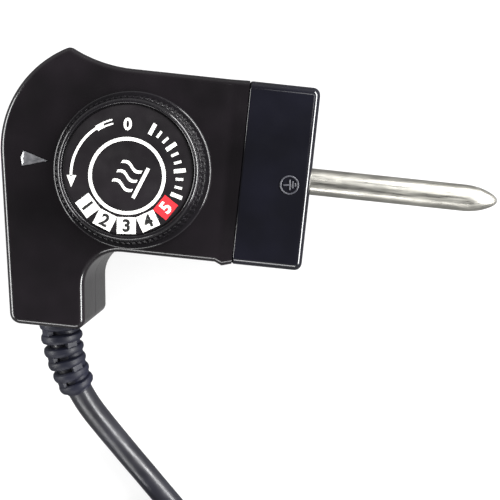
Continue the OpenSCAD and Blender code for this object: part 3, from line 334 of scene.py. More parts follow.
def body_outline(peak_r=2.0):
    """The body's plan in mm, anticlockwise from its front corner on the cord's side.

    A straight front, a swell up to the peak, the round back, the leg with its heel and toe, and the knee.
    """
    peak_angle, peak_out, swell_r, back_cy = 115.7, 4.0, 36.0, 2.2
    lean, leg_w, leg_taper, heel_r, toe_r, knee_r = 8.0, 20.0, 6.0, 3.0, 2.6, 9.0
    back_r = (HALF_W + peak_out - back_cy) / math.sin(math.radians(peak_angle))
    back = (BACK_X + back_r, back_cy)

    def on_back(angle):
        return arc_points(back, back_r, angle, angle, 1)[0]

    peak = on_back(peak_angle)
    swell_x = peak[0] + math.sqrt(swell_r**2 - (swell_r + HALF_W - peak[1]) ** 2)
    swell = (swell_x, HALF_W + swell_r)
    swell_end = math.degrees(math.atan2(peak[1] - swell[1], peak[0] - swell[0])) % 360
    back_end = on_back(180 + lean)
    heel = (back_end[0] + (back_end[1] - EXIT.y) * math.tan(math.radians(lean)), EXIT.y)
    toe = (heel[0] + leg_w, EXIT.y)
    knee = (toe[0] - (-EXIT.y - HALF_W) * math.tan(math.radians(leg_taper)), -HALF_W)
    # Both arcs stop short of the peak, by more degrees where it is rounder
    near_peak = arc_points(swell, swell_r, 270, swell_end + 1.5 * peak_r, 16)
    after_peak = arc_points(back, back_r, peak_angle + 2 * peak_r, 180 + lean, 40)
    front = FRONT_X - RAMP
    return (
        [(front, -HALF_W), (front, HALF_W)]
        + near_peak
        + corner(near_peak[-1], peak, after_peak[0], peak_r, 6)
        + after_peak
        + corner(back_end, heel, toe, heel_r, 8)
        + corner(heel, toe, knee, toe_r, 8)
        + corner(toe, knee, (FRONT_X, -HALF_W), knee_r, 14)
    )


def inset_points(points, d):
    """An outline moved inward by d, which is less than its corners' radii."""
    out = []
    for i, p in enumerate(points):
        a = (Vector(p) - Vector(points[i - 1])).normalized()
        b = (Vector(points[(i + 1) % len(points)]) - Vector(p)).normalized()
        n1, n2 = Vector((-a.y, a.x)), Vector((-b.y, b.x))
        out.append(tuple(Vector(p) + d * (n1 + n2) / (1 + n1.dot(n2))))
    return out


# Nodes and materials


def channels(code):
    """An sRGB hex colour as three shares of full red, green and blue."""
    return [int(code[i : i + 2], 16) / 255 for i in (1, 3, 5)]


def linear(code):
    """An sRGB hex colour as the linear values that shaders take."""
    return [p / 12.92 if p <= 0.04045 else ((p + 0.055) / 1.055) ** 2.4 for p in channels(code)] + [1.0]


def hex_code(colour, factor=1.0):
    """The hex code of an sRGB colour, or of a darker or paler one."""
    return "#%02x%02x%02x" % tuple(round(min(1, c * factor) * 255) for c in colour)


def add_node(tree, kind, sockets=(), **settings):
    """Adds a node. Sockets, by name or number, get a value or a link from another node's output."""
    node = tree.nodes.new(kind)
    for key, value in settings.items():
        setattr(node, key, value)
    for key, value in dict(sockets).items():
        if isinstance(value, bpy.types.NodeSocket):
            tree.links.new(value, node.inputs[key])
        else:
            node.inputs[key].default_value = value
    return node


def empty_tree(holder):
    """The node tree of a new material or world, with its default nodes taken out."""
    holder.use_nodes = True
    holder.node_tree.nodes.clear()
    return holder.node_tree


MIX_FACTOR, MIX_A, MIX_B, MIX_RESULT = 0, 6, 7, 2  # the Mix node's sockets for colours
EVEN = (1, 1, 1)
LOW, HIGH = 0.35, 0.65  # most of a noise lies between these


def finish(name, shades, shade, shade_span, roughness, bumps, marks=None, marks_span=None, **values):
    """A material whose colour, gloss and relief follow noise on Object coordinates.

    shade, marks and each of bumps name a noise by its size in mm, its detail and its stretch. shade mixes the
    two shades, marks varies the roughness between shares of it, and bumps gives each noise its depth in mm.
    """
    material = bpy.data.materials.new(name)
    tree = empty_tree(material)
    place = add_node(tree, "ShaderNodeTexCoord").outputs["Object"]
    wanted = [shade] + ([marks] if marks else []) + [noise for noise, depth in bumps]
    noises = {}
    for size_mm, detail, stretch in dict.fromkeys(wanted):
        mapped = add_node(tree, "ShaderNodeMapping", {"Vector": place, "Scale": stretch})
        noises[size_mm, detail, stretch] = add_node(tree, "ShaderNodeTexNoise",
            {"Vector": mapped.outputs[0], "Scale": 1 / (size_mm * MM), "Detail": detail}).outputs[0]

    low, high, share = shade_span
    factor = add_node(tree, "ShaderNodeMapRange",
        {"Value": noises[shade], "From Min": low, "From Max": high, "To Min": 0, "To Max": share})
    colour = add_node(tree, "ShaderNodeMix",
        {MIX_FACTOR: factor.outputs[0], MIX_A: linear(shades[0]), MIX_B: linear(shades[1])}, data_type="RGBA")
    sockets = {key.replace("_", " "): value for key, value in values.items()}
    sockets["Base Color"] = colour.outputs[MIX_RESULT]
    sockets["Roughness"] = roughness
    if marks:
        smoothest, roughest = [roughness * share for share in marks_span]
        sockets["Roughness"] = add_node(tree, "ShaderNodeMapRange", {"Value": noises[marks], "From Min": LOW,
            "From Max": HIGH, "To Min": smoothest, "To Max": roughest}).outputs[0]
    for noise, depth in bumps:
        bump = {"Height": noises[noise], "Distance": depth * MM, "Strength": 1}
        if "Normal" in sockets:
            bump["Normal"] = sockets["Normal"]
        sockets["Normal"] = add_node(tree, "ShaderNodeBump", bump).outputs[0]
    shader = add_node(tree, "ShaderNodeBsdfPrincipled", sockets)
    add_node(tree, "ShaderNodeOutputMaterial", {"Surface": shader.outputs[0]})
    return material


def moulded(name, shades, roughness, peel=(1.4, 0.006), grain=None, gloss=0.5):
    """Injection-moulded plastic: an even colour, faint flow marks, and the mould's gloss or spark texture."""
    bumps = [((peel[0], 1, EVEN), peel[1])]
    if grain:
        bumps.append(((grain[0], 2, EVEN), grain[1]))
    return finish(name, shades, (14, 2, EVEN), (LOW, HIGH, 1), roughness, bumps, (5, 5, EVEN), (0.85, 1.2),
        IOR=1.5, Specular_IOR_Level=gloss)


def metal(name, code, roughness, stretch=EVEN, mark_mm=0.4, depth=0.002, worn="#8a8883"):
    """Bare or plated metal: its colour, and fine marks left by drawing, rolling or turning."""
    marks = (mark_mm, 4, stretch)
    return finish(name, (code, worn), (6, 3, EVEN), (LOW, HIGH, 0.5), roughness, [(marks, depth)], marks,
        (0.75, 1.3), Metallic=1.0)


def ink(name, code):
    """Pad-printed ink: nearly even, with the slight mottle of a thin layer over dark plastic."""
    dull, mottle = hex_code(channels(code), 0.86), (0.5, 4, EVEN)
    return finish(name, (dull, code), mottle, (0.3, 0.5, 1), 0.45, [(mottle, 0.01)])


def clear(name, code, cloud_code, roughness, weight):
    """Clear moulded plastic or glass, slightly clouded."""
    cloud = (1.5, 4, EVEN)
    return finish(name, (code, cloud_code), cloud, (LOW, HIGH, 1), roughness, [(cloud, 0.01)], IOR=1.5,
        Transmission_Weight=weight)


MATERIALS = {}
PALER = 1.38  # the flow marks of a moulding against its own colour


def make_finishes(look):
    """Every finish of the part, named for what the real one is and how it was made."""

    def of(colour):
        return hex_code(colour), hex_code(colour, PALER)

    m = MATERIALS
    # Gloss ABS from a polished mould: near black, with a faint orange peel; the casing's warm cast is a
    # painted reflection
    m["case"] = moulded("Gloss_ABS_case", of(look.case_colour), 0.17)
    # The hood's blue cast is a painted reflection
    m["hood"] = moulded("Gloss_ABS_hood", of(look.hood_colour), 0.14)
    # The raised earth mark in a paler, duller black: a painted highlight on its strokes
    m["painted_highlight_mark"] = moulded("Pale_ABS_mark_painted_highlight", ("#34343a", "#4a4a50"), 0.3)
    # Heat-resistant nylon of the knob and its face: a little softer in gloss than the casing
    m["knob"] = moulded("Moulded_PA_knob", of(look.knob_colour), 0.17, (0.9, 0.006))
    m["face"] = moulded("Moulded_PA_dial_face", of(look.face_colour), 0.3, (0.8, 0.006))
    # Pad-printed inks: dull and opaque, with the dark face just showing through in spots
    m["white_ink"] = ink("Pad_print_white", hex_code(look.print_colour))
    m["black_ink"] = ink("Pad_print_black", "#141414")
    m["red_ink"] = ink("Pad_print_red", hex_code(look.full_heat_colour))
    # Clear polycarbonate, facetted inside, which looks greyish white on the dark casing
    m["lens"] = clear("Clear_PC_lens", hex_code(look.lens_colour), "#9a9a9e", 0.12, 0.5)
    # Glass of the neon lamp, with the faint orange of its electrodes
    m["glass"] = clear("Soda_glass_lamp", "#e8b9a0", "#ffffff", 0.05, 0.8)
    # Stainless tube drawn along its length: lengthwise lines, coarser than the real ones so that they show,
    # and a soft satin gloss
    m["stainless"] = metal("Stainless_drawn_tube", "#c2c0b8", 0.36, (0.05, 1, 1), 0.35)
    # Steel with bright zinc: bluish grey and satin. Nickel over brass: warmer, smoother and brighter
    m["zinc"] = metal("Zinc_plated_steel", "#b4b7ba", 0.34)
    m["nickel"] = metal("Nickel_plated_brass", "#cfcac0", 0.18, depth=0.001)
    # Bare copper alloys, turned or rolled: yellow or reddish, browned in places
    m["brass"] = metal("Turned_brass", "#c6a255", 0.28, worn="#9c7b3e")
    m["bronze"] = metal("Rolled_phosphor_bronze", "#c79a62", 0.3, worn="#93724a")
    # Silver contacts: pale and soft in gloss, greyed by tarnish
    m["silver"] = metal("Fine_silver_contact", "#dcdad4", 0.3)
    # Pressed and fired steatite: cream, matt and finely grained
    m["ceramic"] = moulded("Unglazed_steatite", ("#d9d2c3", "#e4ddcf"), 0.62, grain=(0.3, 0.01))
    # Hot-pressed phenolic: dark reddish brown. Lacquered resistor: tan
    m["phenolic"] = moulded("Pressed_phenolic", ("#4a2a18", "#5a3520"), 0.42)
    m["resistor"] = moulded("Lacquered_resistor", ("#a68a58", "#b89a66"), 0.4)
    # Extruded PVC of the wires, in the usual colours of live, neutral and earth
    m["brown"] = moulded("PVC_wire_brown", ("#4a2818", "#58301d"), 0.36)
    m["blue"] = moulded("PVC_wire_blue", ("#1f4f94", "#285ba4"), 0.36)
    m["green"] = moulded("PVC_wire_green", ("#5a8a2a", "#6d9c35"), 0.36)
    # Extruded PVC sheath: satin, with the slow swell of the cores under it and a fine grain
    m["cord"] = moulded("PVC_sheath", of(look.cord_colour), 0.34, (2.2, 0.03), (0.5, 0.006), 0.42)
    # Soft PVC moulded round the cord: duller than the casing. Its spark grain, and the plug's, is drawn
    # coarser than the real one so that it shows
    m["relief"] = moulded("Moulded_PVC_relief", of(look.relief_colour), 0.5, grain=(0.4, 0.008), gloss=0.25)
    m["plug"] = moulded("Moulded_PVC_plug", of(look.plug_colour), 0.45, grain=(0.6, 0.014))
    # Nylon of the plug's face, left pale, and of the ties, black and a little glossy
    m["plug_face"] = moulded("Moulded_PA_plug_face", ("#c4c0b9", "#d2cec7"), 0.45)
    m["clamp"] = moulded("Nylon_tie", ("#1b1b1d", "#232325"), 0.4)


class THERMOSTAT_OT_finishes(bpy.types.Operator):
    """Make the finishes of every piece, in the colours that the panel shows"""

    bl_idname = "thermostat.finishes"
    bl_label = "Finishes"

    def execute(self, context):
        make_finishes(context.scene.thermostat_look)
        return {"FINISHED"}


FINISH_OF_NODE = {
    "ceramic": "contact_block blade_washers dial_cam expansion_rod",
    "nickel": "contact_sleeve_left contact_sleeve_right plug_pins plug_earth_clips",
    "bronze": "earth_spring contact_blade",
    "brass": "probe_nut shaft_bush blade_bracket",
    "zinc": "mech_frame stack_rivet hinge_pins clamp_screws housing_screws dial_shaft shaft_clip",
    "glass": "neon_lamp",
    "resistor": "neon_resistor",
    "brown": "live_wire jumper_wire",
    "blue": "neutral_wire",
    "green": "earth_wire",
    "clamp": "cord_clamp coil_tie",
    "cord": "cord_end",
    "silver": "blade_contact lever_contact",
    "phenolic": "set_lever",
    "plug_face": "plug_face",
}


# Route of the cord, with the same points and coil as the solids. RUN and TAIL give places in mm from the hole
# in the leg. Each has its share of the way down to the table, or up to the coil's upper layer.

RUN = [
    (0, 0, 0), (0.4, -3.4, 0.007), (1.1, -7.1, 0.03), (2.2, -11.1, 0.067), (3.7, -15.1, 0.119),
    (5.5, -19, 0.193), (7.5, -22.8, 0.289), (9.8, -26.6, 0.4), (12.5, -30.4, 0.526),
    (15.6, -34.5, 0.659), (19, -38.8, 0.793), (22.8, -43.3, 0.896), (27, -47.9, 0.963),
    (31.5, -52.6, 0.993), (36.3, -57.4, 1), (41.3, -62.4, 1), (46.2, -67.3, 0.978),
]
TAIL = [
    (43.5, -63.6, 1), (49.5, -63.6, 0.963), (55.5, -63.7, 0.84), (61.5, -64.3, 0.654),
    (67.5, -65.7, 0.444), (73.3, -68.1, 0.259), (78.7, -71.4, 0.123), (83.5, -75.5, 0.037),
    (87.7, -80.3, 0), (91.1, -85.7, 0), (93.6, -91.5, 0), (95.1, -97.6, 0.025),
]
COIL_START, COIL_R, COIL_TURNS, COIL_PITCH, TIE_T = (55.7, -76.8), 45.0, 4.875, 7.5, 0.6
LOW_Z = TABLE_Z + CORD_R
PLUG_HEEL = Vector((29.979, -167.833, -7.404))
PLUG_WAY = Vector((0, -0.95963, 0.28127))
PLUG_RELIEF_L = 19.0


def coil_point(t):
    """The coil spirals in on the lower layer, climbs where it reverses, and spirals out above."""
    angle = math.radians(45 - 360 * t)
    r = COIL_R - COIL_PITCH * min(t, COIL_TURNS - t)
    climb = max(0.0, min(1.0, (t - COIL_TURNS / 2) * 2 + 0.5))
    diagonal = math.sqrt(0.5) * COIL_R
    middle = EXIT + Vector((COIL_START[0] - diagonal, COIL_START[1] - diagonal, 0))
    z = LOW_Z + TIE_T + COIL_PITCH * (0.5 - 0.5 * math.cos(math.pi * climb))
    return Vector((middle.x + r * math.cos(angle), middle.y + r * math.sin(angle), z))


def cord_route():
    """Every point of the cord's middle in mm, from the leg to the plug."""
    run = [EXIT + Vector((x, y, share * LOW_Z)) for x, y, share in RUN]
    steps = 20
    coil = [coil_point(i / steps) for i in range(int(COIL_TURNS * steps))] + [coil_point(COIL_TURNS)]
    tail = [EXIT + Vector((x, y, LOW_Z + share * (TIE_T + COIL_PITCH))) for x, y, share in TAIL]
    plug = [PLUG_HEEL - PLUG_RELIEF_L * share * PLUG_WAY for share in (1, 0.6, 0.3, 0)]
    return run + coil + tail + plug


def curve_through(name, points, radius=0.0):
    """A smooth curve through points in mm: a path that is drawn, then moved onto them."""
    clear_selection()
    bpy.ops.curve.primitive_bezier_curve_add(location=(0, 0, 0))
    obj = named(name)
    spline = obj.data.splines[0]
    spline.bezier_points.add(len(points) - 2)
    for knot, p in zip(spline.bezier_points, points):
        knot.co = Vector(p) * MM
        knot.handle_left_type = knot.handle_right_type = "AUTO"
    obj.data.dimensions = "3D"
    obj.data.twist_mode = "MINIMUM"
    obj.data.resolution_u = 5
    obj.data.bevel_depth = radius * MM
    obj.data.bevel_resolution = 5
    obj.data.use_fill_caps = radius > 0
    return obj


# Casing


FRONT_EDGE = FRONT_X - RAMP  # where the ramp begins


def rim_at(height):
    """Test for the rim edges at a height, apart from those along the body's front."""

    def test(points):
        return all(near(p.z, height) for p in points) and not all(near(p.x, FRONT_EDGE) for p in points)

    return test


def screw_places():
    """The four casing screws in plan: two near the hood, one by the peak and one in the leg's root."""
    front_x, side_y = -35.0, HALF_W - WALL - 4.4
    return [(front_x, side_y), (front_x, -side_y), (-65.97, 20.0), (-73.12, -21.5)]


def half_shell(name, top):
    """One moulded half: the body's outline with a rounded rim, a front ramp and a hollow inside."""
    sizes = bpy.context.scene.thermostat_sizes
    edge, wall = sizes.case_edge / MM, sizes.case_wall / MM
    seam_edge, bulge, flare, rounder, exit_r = 0.2, 1.9, 0.8, 0.6, 4.65
    side = 1 if top > 0 else -1
    ramp_way = (HOOD_Z - abs(top)) / abs(top) / RAMP
    obj = prism(name, body_outline(), 0, top)
    round_edges(obj, rim_at(top), edge, 6)
    round_edges(obj, rim_at(0), seam_edge, 1)
    pull(obj, lambda p: near(p.x, FRONT_EDGE), (bulge, 0, 0))
    pull(obj, lambda p: near(p.x, FRONT_EDGE + bulge), (RAMP - bulge, 0, 0))
    for x in (FRONT_EDGE + bulge, FRONT_X):
        pick(obj, "VERT", every(lambda p: near(p.x, x)))
        rise = 1 + ramp_way * (x - FRONT_EDGE)
        bpy.ops.transform.resize(value=(1, 1, rise), center_override=(0, 0, 0))
        done()
    shift(obj, lambda p: near(p.x, FRONT_EDGE + bulge) and p.y < edge - HALF_W, (0, -flare, 0))
    outwards(obj)

    # The hollow's corners are rounder than the wall is thick, so that its outline never crosses itself
    past, roof = -side, top - side * wall
    hollow = prism("hollow", inset_points(body_outline(wall + rounder), wall), past, roof)
    mouth = block("mouth", (FRONT_EDGE - wall - 1, -HALF_W + wall, min(past, roof)),
        (FRONT_X + 1, HALF_W - wall, max(past, roof)))
    cut(obj, hollow, mouth)
    cut(obj, aim(peg("exit_cutter", (0, 0), -5, 5, exit_r, steps=40), EXIT, EXIT_WAY))
    return obj


class THERMOSTAT_OT_casing(bpy.types.Operator):
    """Model the two moulded halves of the body, with the screw posts, the ramp and the cut-outs"""

    bl_idname = "thermostat.casing"
    bl_label = "Casing halves"

    def execute(self, context):
        post_r, foot_r, seat_z, floor_z = 3.5, 3.7, -9.85, -HOOD_Z + 1.1
        thread_r, screw_r, head_r, shaft_r, lens_gap = 1.55, 1.65, 3.25, 3.35, 0.15
        screws = screw_places()
        upper = half_shell("case_upper", TOP_Z)
        fuse(upper, *[peg("post", p, seat_z, TOP_Z - 1, post_r, foot_r) for p in screws])
        cut(upper, *[peg("bore", p, -12, 11, thread_r) for p in screws])
        cut(upper, peg("shaft_cutter", DIAL, 12, 18, shaft_r, steps=64),
            prism("lens_cutter", lens_plan(lens_gap), 12, 18))
        smooth(upper)
        dress(upper, "case", "case_black", "casing", "upper_housing")

        lower = half_shell("case_lower", -HOOD_Z)
        frame_feet = [(x, y) for x in (-59.08, -27.92) for y in (-5, 5)]  # where the switch frame stands
        fuse(lower, *[peg("post", p, floor_z, -10, foot_r, post_r) for p in screws])
        fuse(lower, *[peg("pad", p, floor_z, -12, 2.6, 2.4, steps=24) for p in frame_feet])
        cut(lower, *[peg("bore", p, -18, -8, screw_r) for p in screws])
        cut(lower, *[peg("sink", p, -18, -14, head_r) for p in screws])
        smooth(lower)
        dress(lower, "case", "case_black", "casing", "lower_housing")
        return {"FINISHED"}


# Hood


def along_x(points):
    """Test for the edges of a block that run along X."""
    a, b = points
    return near(a.y, b.y) and near(a.z, b.z)


def earth_mark():
    """The raised earth sign: a ring, a stem and three bars, near the hood's front edge."""
    x, y, turn, ring_r, height, stroke, sunk = -5.6, -1.8, 96, 2.5, 0.34, 0.42, 0.08
    root, stem_top, bar_gap = 0.1, 1.6, 0.72
    ring_in = ring_r - stroke
    ring = turned("earth_mark", [(ring_r, 0), (ring_r, height), (ring_in, height), (ring_in, 0),
        (ring_r, 0)], 48)
    strokes = [block("stem", (-stroke / 2, root, 0), (stroke / 2, stem_top, height))]
    for k, half in enumerate((1.4, 0.95, 0.5)):
        top = root - bar_gap * k
        strokes.append(block("bar", (-half, top - stroke, 0), (half, top, height)))
    mark = joined(ring, *strokes)
    break_edges(mark, 0.14, segments=3)
    put(mark, x, y, HOOD_Z - sunk, turn)
    smooth(mark)
    # The mark's paler finish is a painted highlight
    dress(mark, "painted_highlight_mark", "hood_black", "casing")


class THERMOSTAT_OT_hood(bpy.types.Operator):
    """Model the hood round the contacts, with its web, its tongue and the moulded earth mark"""

    bl_idname = "thermostat.hood"
    bl_label = "Hood"

    def execute(self, context):
        wall, web, tongue_l, tongue_t, gap = WALL, -14.5, 5.5, 1.3, 0.05
        side_edge, front_edge, rear_edge = 2.4, 1.95, 0.7
        neck_r, sleeve_r, contact_y = 3.55, 3.2, 14
        slot_half, slot_low, slot_high = 3.15, -8.65, -7.85
        hood = block("hood", (FRONT_X, -HALF_W, TABLE_Z), (0, HALF_W, HOOD_Z))
        round_edges(hood, along_x, side_edge, 8)
        round_edges(hood, every(lambda p: near(p.x, 0)), front_edge, 6)
        round_edges(hood, every(lambda p: near(p.x, FRONT_X)), rear_edge, 4)
        outwards(hood)

        def bar(name, x0, x1, inset, top):
            obj = block(name, (x0, -HALF_W + inset, TABLE_Z + inset), (x1, HALF_W - inset, top - inset))
            round_edges(obj, along_x, 1.2, 4)
            return obj

        fuse(hood, bar("tongue", FRONT_X - tongue_l, web - 1, wall + gap, TOP_Z))
        cut(hood, bar("pocket", web, 1, wall, HOOD_Z))
        cut(hood, bar("back_pocket", FRONT_X - tongue_l - 1, FRONT_X + 1.5, wall + gap + tongue_t, TOP_Z))
        holes = [("neck_cutter", 0, neck_r), ("left_cutter", contact_y, sleeve_r),
            ("right_cutter", -contact_y, sleeve_r)]
        cut(hood, *[lay_along_x(peg(name, (0, y), -20, -13, r, steps=48)) for name, y, r in holes])
        cut(hood, block("slot_cutter", (-20, -slot_half, slot_low), (-13, slot_half, slot_high)))
        smooth(hood)
        dress(hood, "hood", "hood_black", "casing", "contact_hood")
        earth_mark()
        return {"FINISHED"}


class THERMOSTAT_OT_probe(bpy.types.Operator):
    """Model the sensing tube: necked where it is held, drawn straight, and swaged to a blunt nose"""

    bl_idname = "thermostat.probe"
    bl_label = "Probe tube"

    def execute(self, context):
        r, neck_r, wall, neck_front = 3.75, 3.2, 0.5, -13.5
        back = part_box("probe_tube")[0].x / MM
        step_front = neck_front + r - neck_r
        nose = [(r, 45.0), (3.64, 46.6), (3.38, 48.2), (2.98, 49.7), (2.5, 51.0), (1.98, 52.1), (1.5, 52.9),
            (0.98, 53.5), (0.5, 53.8), (0, 53.9)]
        end_of_bore = [(r - wall, 44.6), (2.9, 46.4), (1.6, 50.0), (0, 50.1)]
        tube = turned("probe_tube_drawn", [(neck_r, back), (neck_r, neck_front), (r, step_front)] + nose, 64)
        bore = turned("bore", [(neck_r - wall, back - 1), (neck_r - wall, neck_front), (r - wall, step_front)]
            + end_of_bore, 48)
        cut(lay_along_x(tube), lay_along_x(bore))
        smooth(tube, 40)
        dress(tube, "stainless", "stainless", "casing", "probe_tube")
        return {"FINISHED"}


# Dial

KNOB_FOOT = 16.2
KNOB_TOP = 25.0
SKIRT_R = 20.5
GRIP_FOOT = 19.4  # radius over the ribs, at their foot and at their top
GRIP_TOP = 18.4
FACE_Z = 24.4
PRINT = Vector((DIAL.x - 0.1, DIAL.y - 1.5, FACE_Z + 0.01))
PRINT_T = 0.04  # thicker than real ink, so that it stands clear of the face


class THERMOSTAT_OT_knob(bpy.types.Operator):
    """Model the knob: a lathe form with its hollow and hub, and the grip ribs round it"""

    bl_idname = "thermostat.knob"
    bl_label = "Knob"

    def execute(self, context):
        ribs = context.scene.thermostat_sizes.dial_ribs
        foot, skirt_top, top, rim_r = KNOB_FOOT, KNOB_FOOT + 1.5, KNOB_TOP, 17.8
        roof, skirt_round, rim_round, shaft_r, hub_r, dish_r = FACE_Z - 2.5, 0.6, 0.9, 3.05, 5, 16.5
        inside = [(shaft_r, 21.2), (shaft_r, foot), (hub_r, foot), (hub_r + 0.3, roof)]
        inside += [(16.4, roof), (16.9, foot), (20.0, foot)]
        skirt = arc_points((SKIRT_R - skirt_round, skirt_top - skirt_round), skirt_round, 0, 90, 5)
        grip = [(GRIP_FOOT - 0.5, skirt_top), (GRIP_TOP - 0.5, top - 1.5)]
        rim = arc_points((rim_r - rim_round, top - rim_round), rim_round, 8, 90, 8)
        dish = [(dish_r + 0.1, top - 0.15), (dish_r, FACE_Z - 0.3), (0, FACE_Z - 0.5)]
        knob = turned("knob", inside + [(SKIRT_R, foot + 0.45)] + skirt + grip + rim + dish, 128)
        break_edges(knob, 0.1)

        half, sunk = 0.42, 1.2
        rib = block("rib", (GRIP_TOP - sunk, -half, skirt_top - 0.2), (GRIP_FOOT, half, top - 1.35))
        shift(rib, lambda p: p.x > GRIP_TOP and p.z > top - 2, (GRIP_TOP - GRIP_FOOT, 0, 0))
        pick(rib, "EDGE", every(lambda p: p.x > GRIP_TOP - 0.1))
        bpy.ops.mesh.bevel(offset=0.22 * MM, segments=2, affect="EDGES")
        bpy.ops.mesh.select_all(action="SELECT")
        bpy.ops.mesh.spin(steps=ribs - 1, dupli=True, angle=2 * math.pi * (ribs - 1) / ribs, center=(0, 0, 0),
            axis=(0, 0, 1))
        done()
        put(joined(knob, rib), DIAL.x, DIAL.y)
        smooth(knob, 40)
        dress(knob, "knob", "dial_black", "dial", "dial_knob")

        face_r = 16.25
        face = turned("dial_face_disc", [(face_r, FACE_Z - 0.5), (face_r, FACE_Z - 0.12),
            (face_r - 0.15, FACE_Z), (0, FACE_Z)])
        put(face, DIAL.x, DIAL.y)
        smooth(face)
        dress(face, "face", "dial_black", "dial", "dial_face")
        return {"FINISHED"}


def printed(name, pieces, finish):
    """Thin ink pieces, made round the origin, joined and set on the dial's face."""
    obj = joined(*pieces)
    obj.name = obj.data.name = name
    put(obj, *PRINT)
    dress(obj, finish, "dial_black", "dial")


def at_angle(obj, radius, degrees, turn):
    """Sets a flat piece at a radius and an angle round the dial, turned by an angle of its own."""
    a = math.radians(degrees)
    return put(obj, radius * math.cos(a), radius * math.sin(a), turn=turn)


def glyph(text, size):
    """A figure as a thin mesh centred on the origin."""
    clear_selection()
    bpy.ops.object.text_add(location=(0, 0, 0))
    obj = named("figure")
    obj.data.body = text
    obj.data.size = size * MM
    obj.data.align_x = "CENTER"
    obj.data.align_y = "CENTER"
    obj.data.offset = 0.035 * MM * size
    obj.data.extrude = PRINT_T / 2 * MM
    bpy.ops.object.convert(target="MESH")
    obj = bpy.context.active_object
    outwards(obj)
    low = [min(v.co[i] for v in obj.data.vertices) for i in range(3)]
    high = [max(v.co[i] for v in obj.data.vertices) for i in range(3)]
    obj.location = (-(low[0] + high[0]) / 2, -(low[1] + high[1]) / 2, -low[2])
    settle(obj)
    return obj


def flat(points):
    return prism("ink", points, 0, PRINT_T)


def flat_box(half_x, half_y):
    return flat([(-half_x, -half_y), (half_x, -half_y), (half_x, half_y), (-half_x, half_y)])


def band(inner, outer, start, end, steps=48):
    """A flat piece of a ring between two angles, in degrees."""
    out = arc_points((0, 0), outer, start, end, steps)
    back = arc_points((0, 0), inner, end, start, steps)
    return flat(out + back)


def wave(x, length, swing, width, steps=24):
    """A wavy upright stroke, as on a heat symbol."""
    ys = [length * (i / steps - 0.5) for i in range(steps + 1)]
    centre = [x + swing * math.sin(2 * math.pi * y / length) for y in ys]
    right = [(c + width / 2, y) for c, y in zip(centre, ys)]
    left = [(c - width / 2, y) for c, y in zip(centre, ys)]
    return flat(right + left[::-1])


def turning_arrow():
    """The arrow from 0 towards 1: two tail strokes and their cross stroke, a curved shaft and a head."""
    tail = [band(13.2, 13.6, 110, 120), band(14.2, 14.6, 110, 120), band(13.2, 14.6, 120, 128)]
    shaft = band(13.7, 14.35, 128, 186)
    head = [arc_points((0, 0), r, angle, angle, 1)[0] for r, angle in ((14.3, 197), (15.1, 185), (12.7, 185))]
    return tail + [shaft, flat(head)]


def heat_ticks():
    """Ticks that grow with the heat, between full and off. Every third one is long."""
    ticks = []
    for k in range(10):
        half, length = (0.32, 1.9) if k % 3 else (0.5, 3.0)
        angle = -16 + 9.2 * k
        ticks.append(at_angle(flat_box(length / 2, half), 12.9 + length / 8, angle, angle))
    return ticks


def heat_sign():
    """A plain heat sign for the middle: three waves over a bar."""
    sign = [wave(x, 5.6, 0.55, 0.8) for x in (-2.6, 0, 2.6)]
    sign.append(flat([(-4.2, -4.3), (4.2, -4.3), (4.2, -3.4), (-4.2, -3.4)]))
    return [put(piece, turn=68) for piece in sign]


class THERMOSTAT_OT_dial_print(bpy.types.Operator):
    """Print the dial: a ring, the heat steps 0 to 5, the turning arrow, ticks and a plain heat sign"""

    bl_idname = "thermostat.dial_print"
    bl_label = "Dial print"

    def execute(self, context):
        ring_in, ring_out, steps_r, first_step, step_angle = 8.8, 9.7, 12.4, 222.5, 26.0
        ring = turned("ring", [(ring_in, 0), (ring_out, 0), (ring_out, PRINT_T), (ring_in, PRINT_T),
            (ring_in, 0)], 128)
        boxes, figures = [], []
        for k in range(5):
            angle = first_step + step_angle * k
            boxes.append(at_angle(flat_box(2.4, 2.1), steps_r, angle, angle + 90))
            figures.append(at_angle(glyph(str(k + 1), 4.2), steps_r, angle, angle + 90))
        zero = at_angle(glyph("0", 4.0), 12.9, 94.5, 2)
        white = [ring, zero] + boxes[:4] + turning_arrow() + heat_ticks() + heat_sign()
        printed("dial_print_white", white, "white_ink")
        for figure in figures:
            put(figure, z=PRINT_T)
        printed("dial_print_black", figures[:4], "black_ink")
        printed("dial_print_red", boxes[4:], "red_ink")
        printed("dial_print_five", figures[4:], "white_ink")
        return {"FINISHED"}


# Pointer lens


def lens_plan(grow):
    """The lens in plan: a wedge whose point shows the heat on the dial, with a slightly bowed back."""
    back, tip, middle_y, half, bow = -75.5, -69.0, -2.1, 2.0, 0.5
    plan = [(back, middle_y + half), (back - bow, middle_y), (back, middle_y - half), (tip, middle_y)]
    return inset_points(plan, -grow)


class THERMOSTAT_OT_lens(bpy.types.Operator):
    """Model the facetted pointer lens that the lamp shines through"""

    bl_idname = "thermostat.lens"
    bl_label = "Pointer lens"

    def execute(self, context):
        proud, facet, facet_rise, flange_t, flange_grow, slack = 0.05, 0.75, 0.3, 0.8, 0.4, 0.02
        top, under_roof = TOP_Z + proud, TOP_Z - WALL
        lens = prism("pointer_lens_cut", lens_plan(0), TOP_Z - 1.8, top)
        pick(lens, "FACE", every(lambda p: near(p.z, top)))
        bpy.ops.mesh.inset(thickness=facet * MM)
        bpy.ops.transform.translate(value=(0, 0, facet_rise * MM))
        done()
        flange = prism("flange", lens_plan(flange_grow), under_roof - flange_t, under_roof)
        foot = prism("foot", lens_plan(-slack), under_roof, TOP_Z - 1.7)
        lens = joined(lens, flange, foot)
        break_edges(lens, 0.08, angle=25)
        dress(lens, "lens", "clear_lens", "casing", "pointer_lens")
        return {"FINISHED"}


# Cord, reliefs and plug


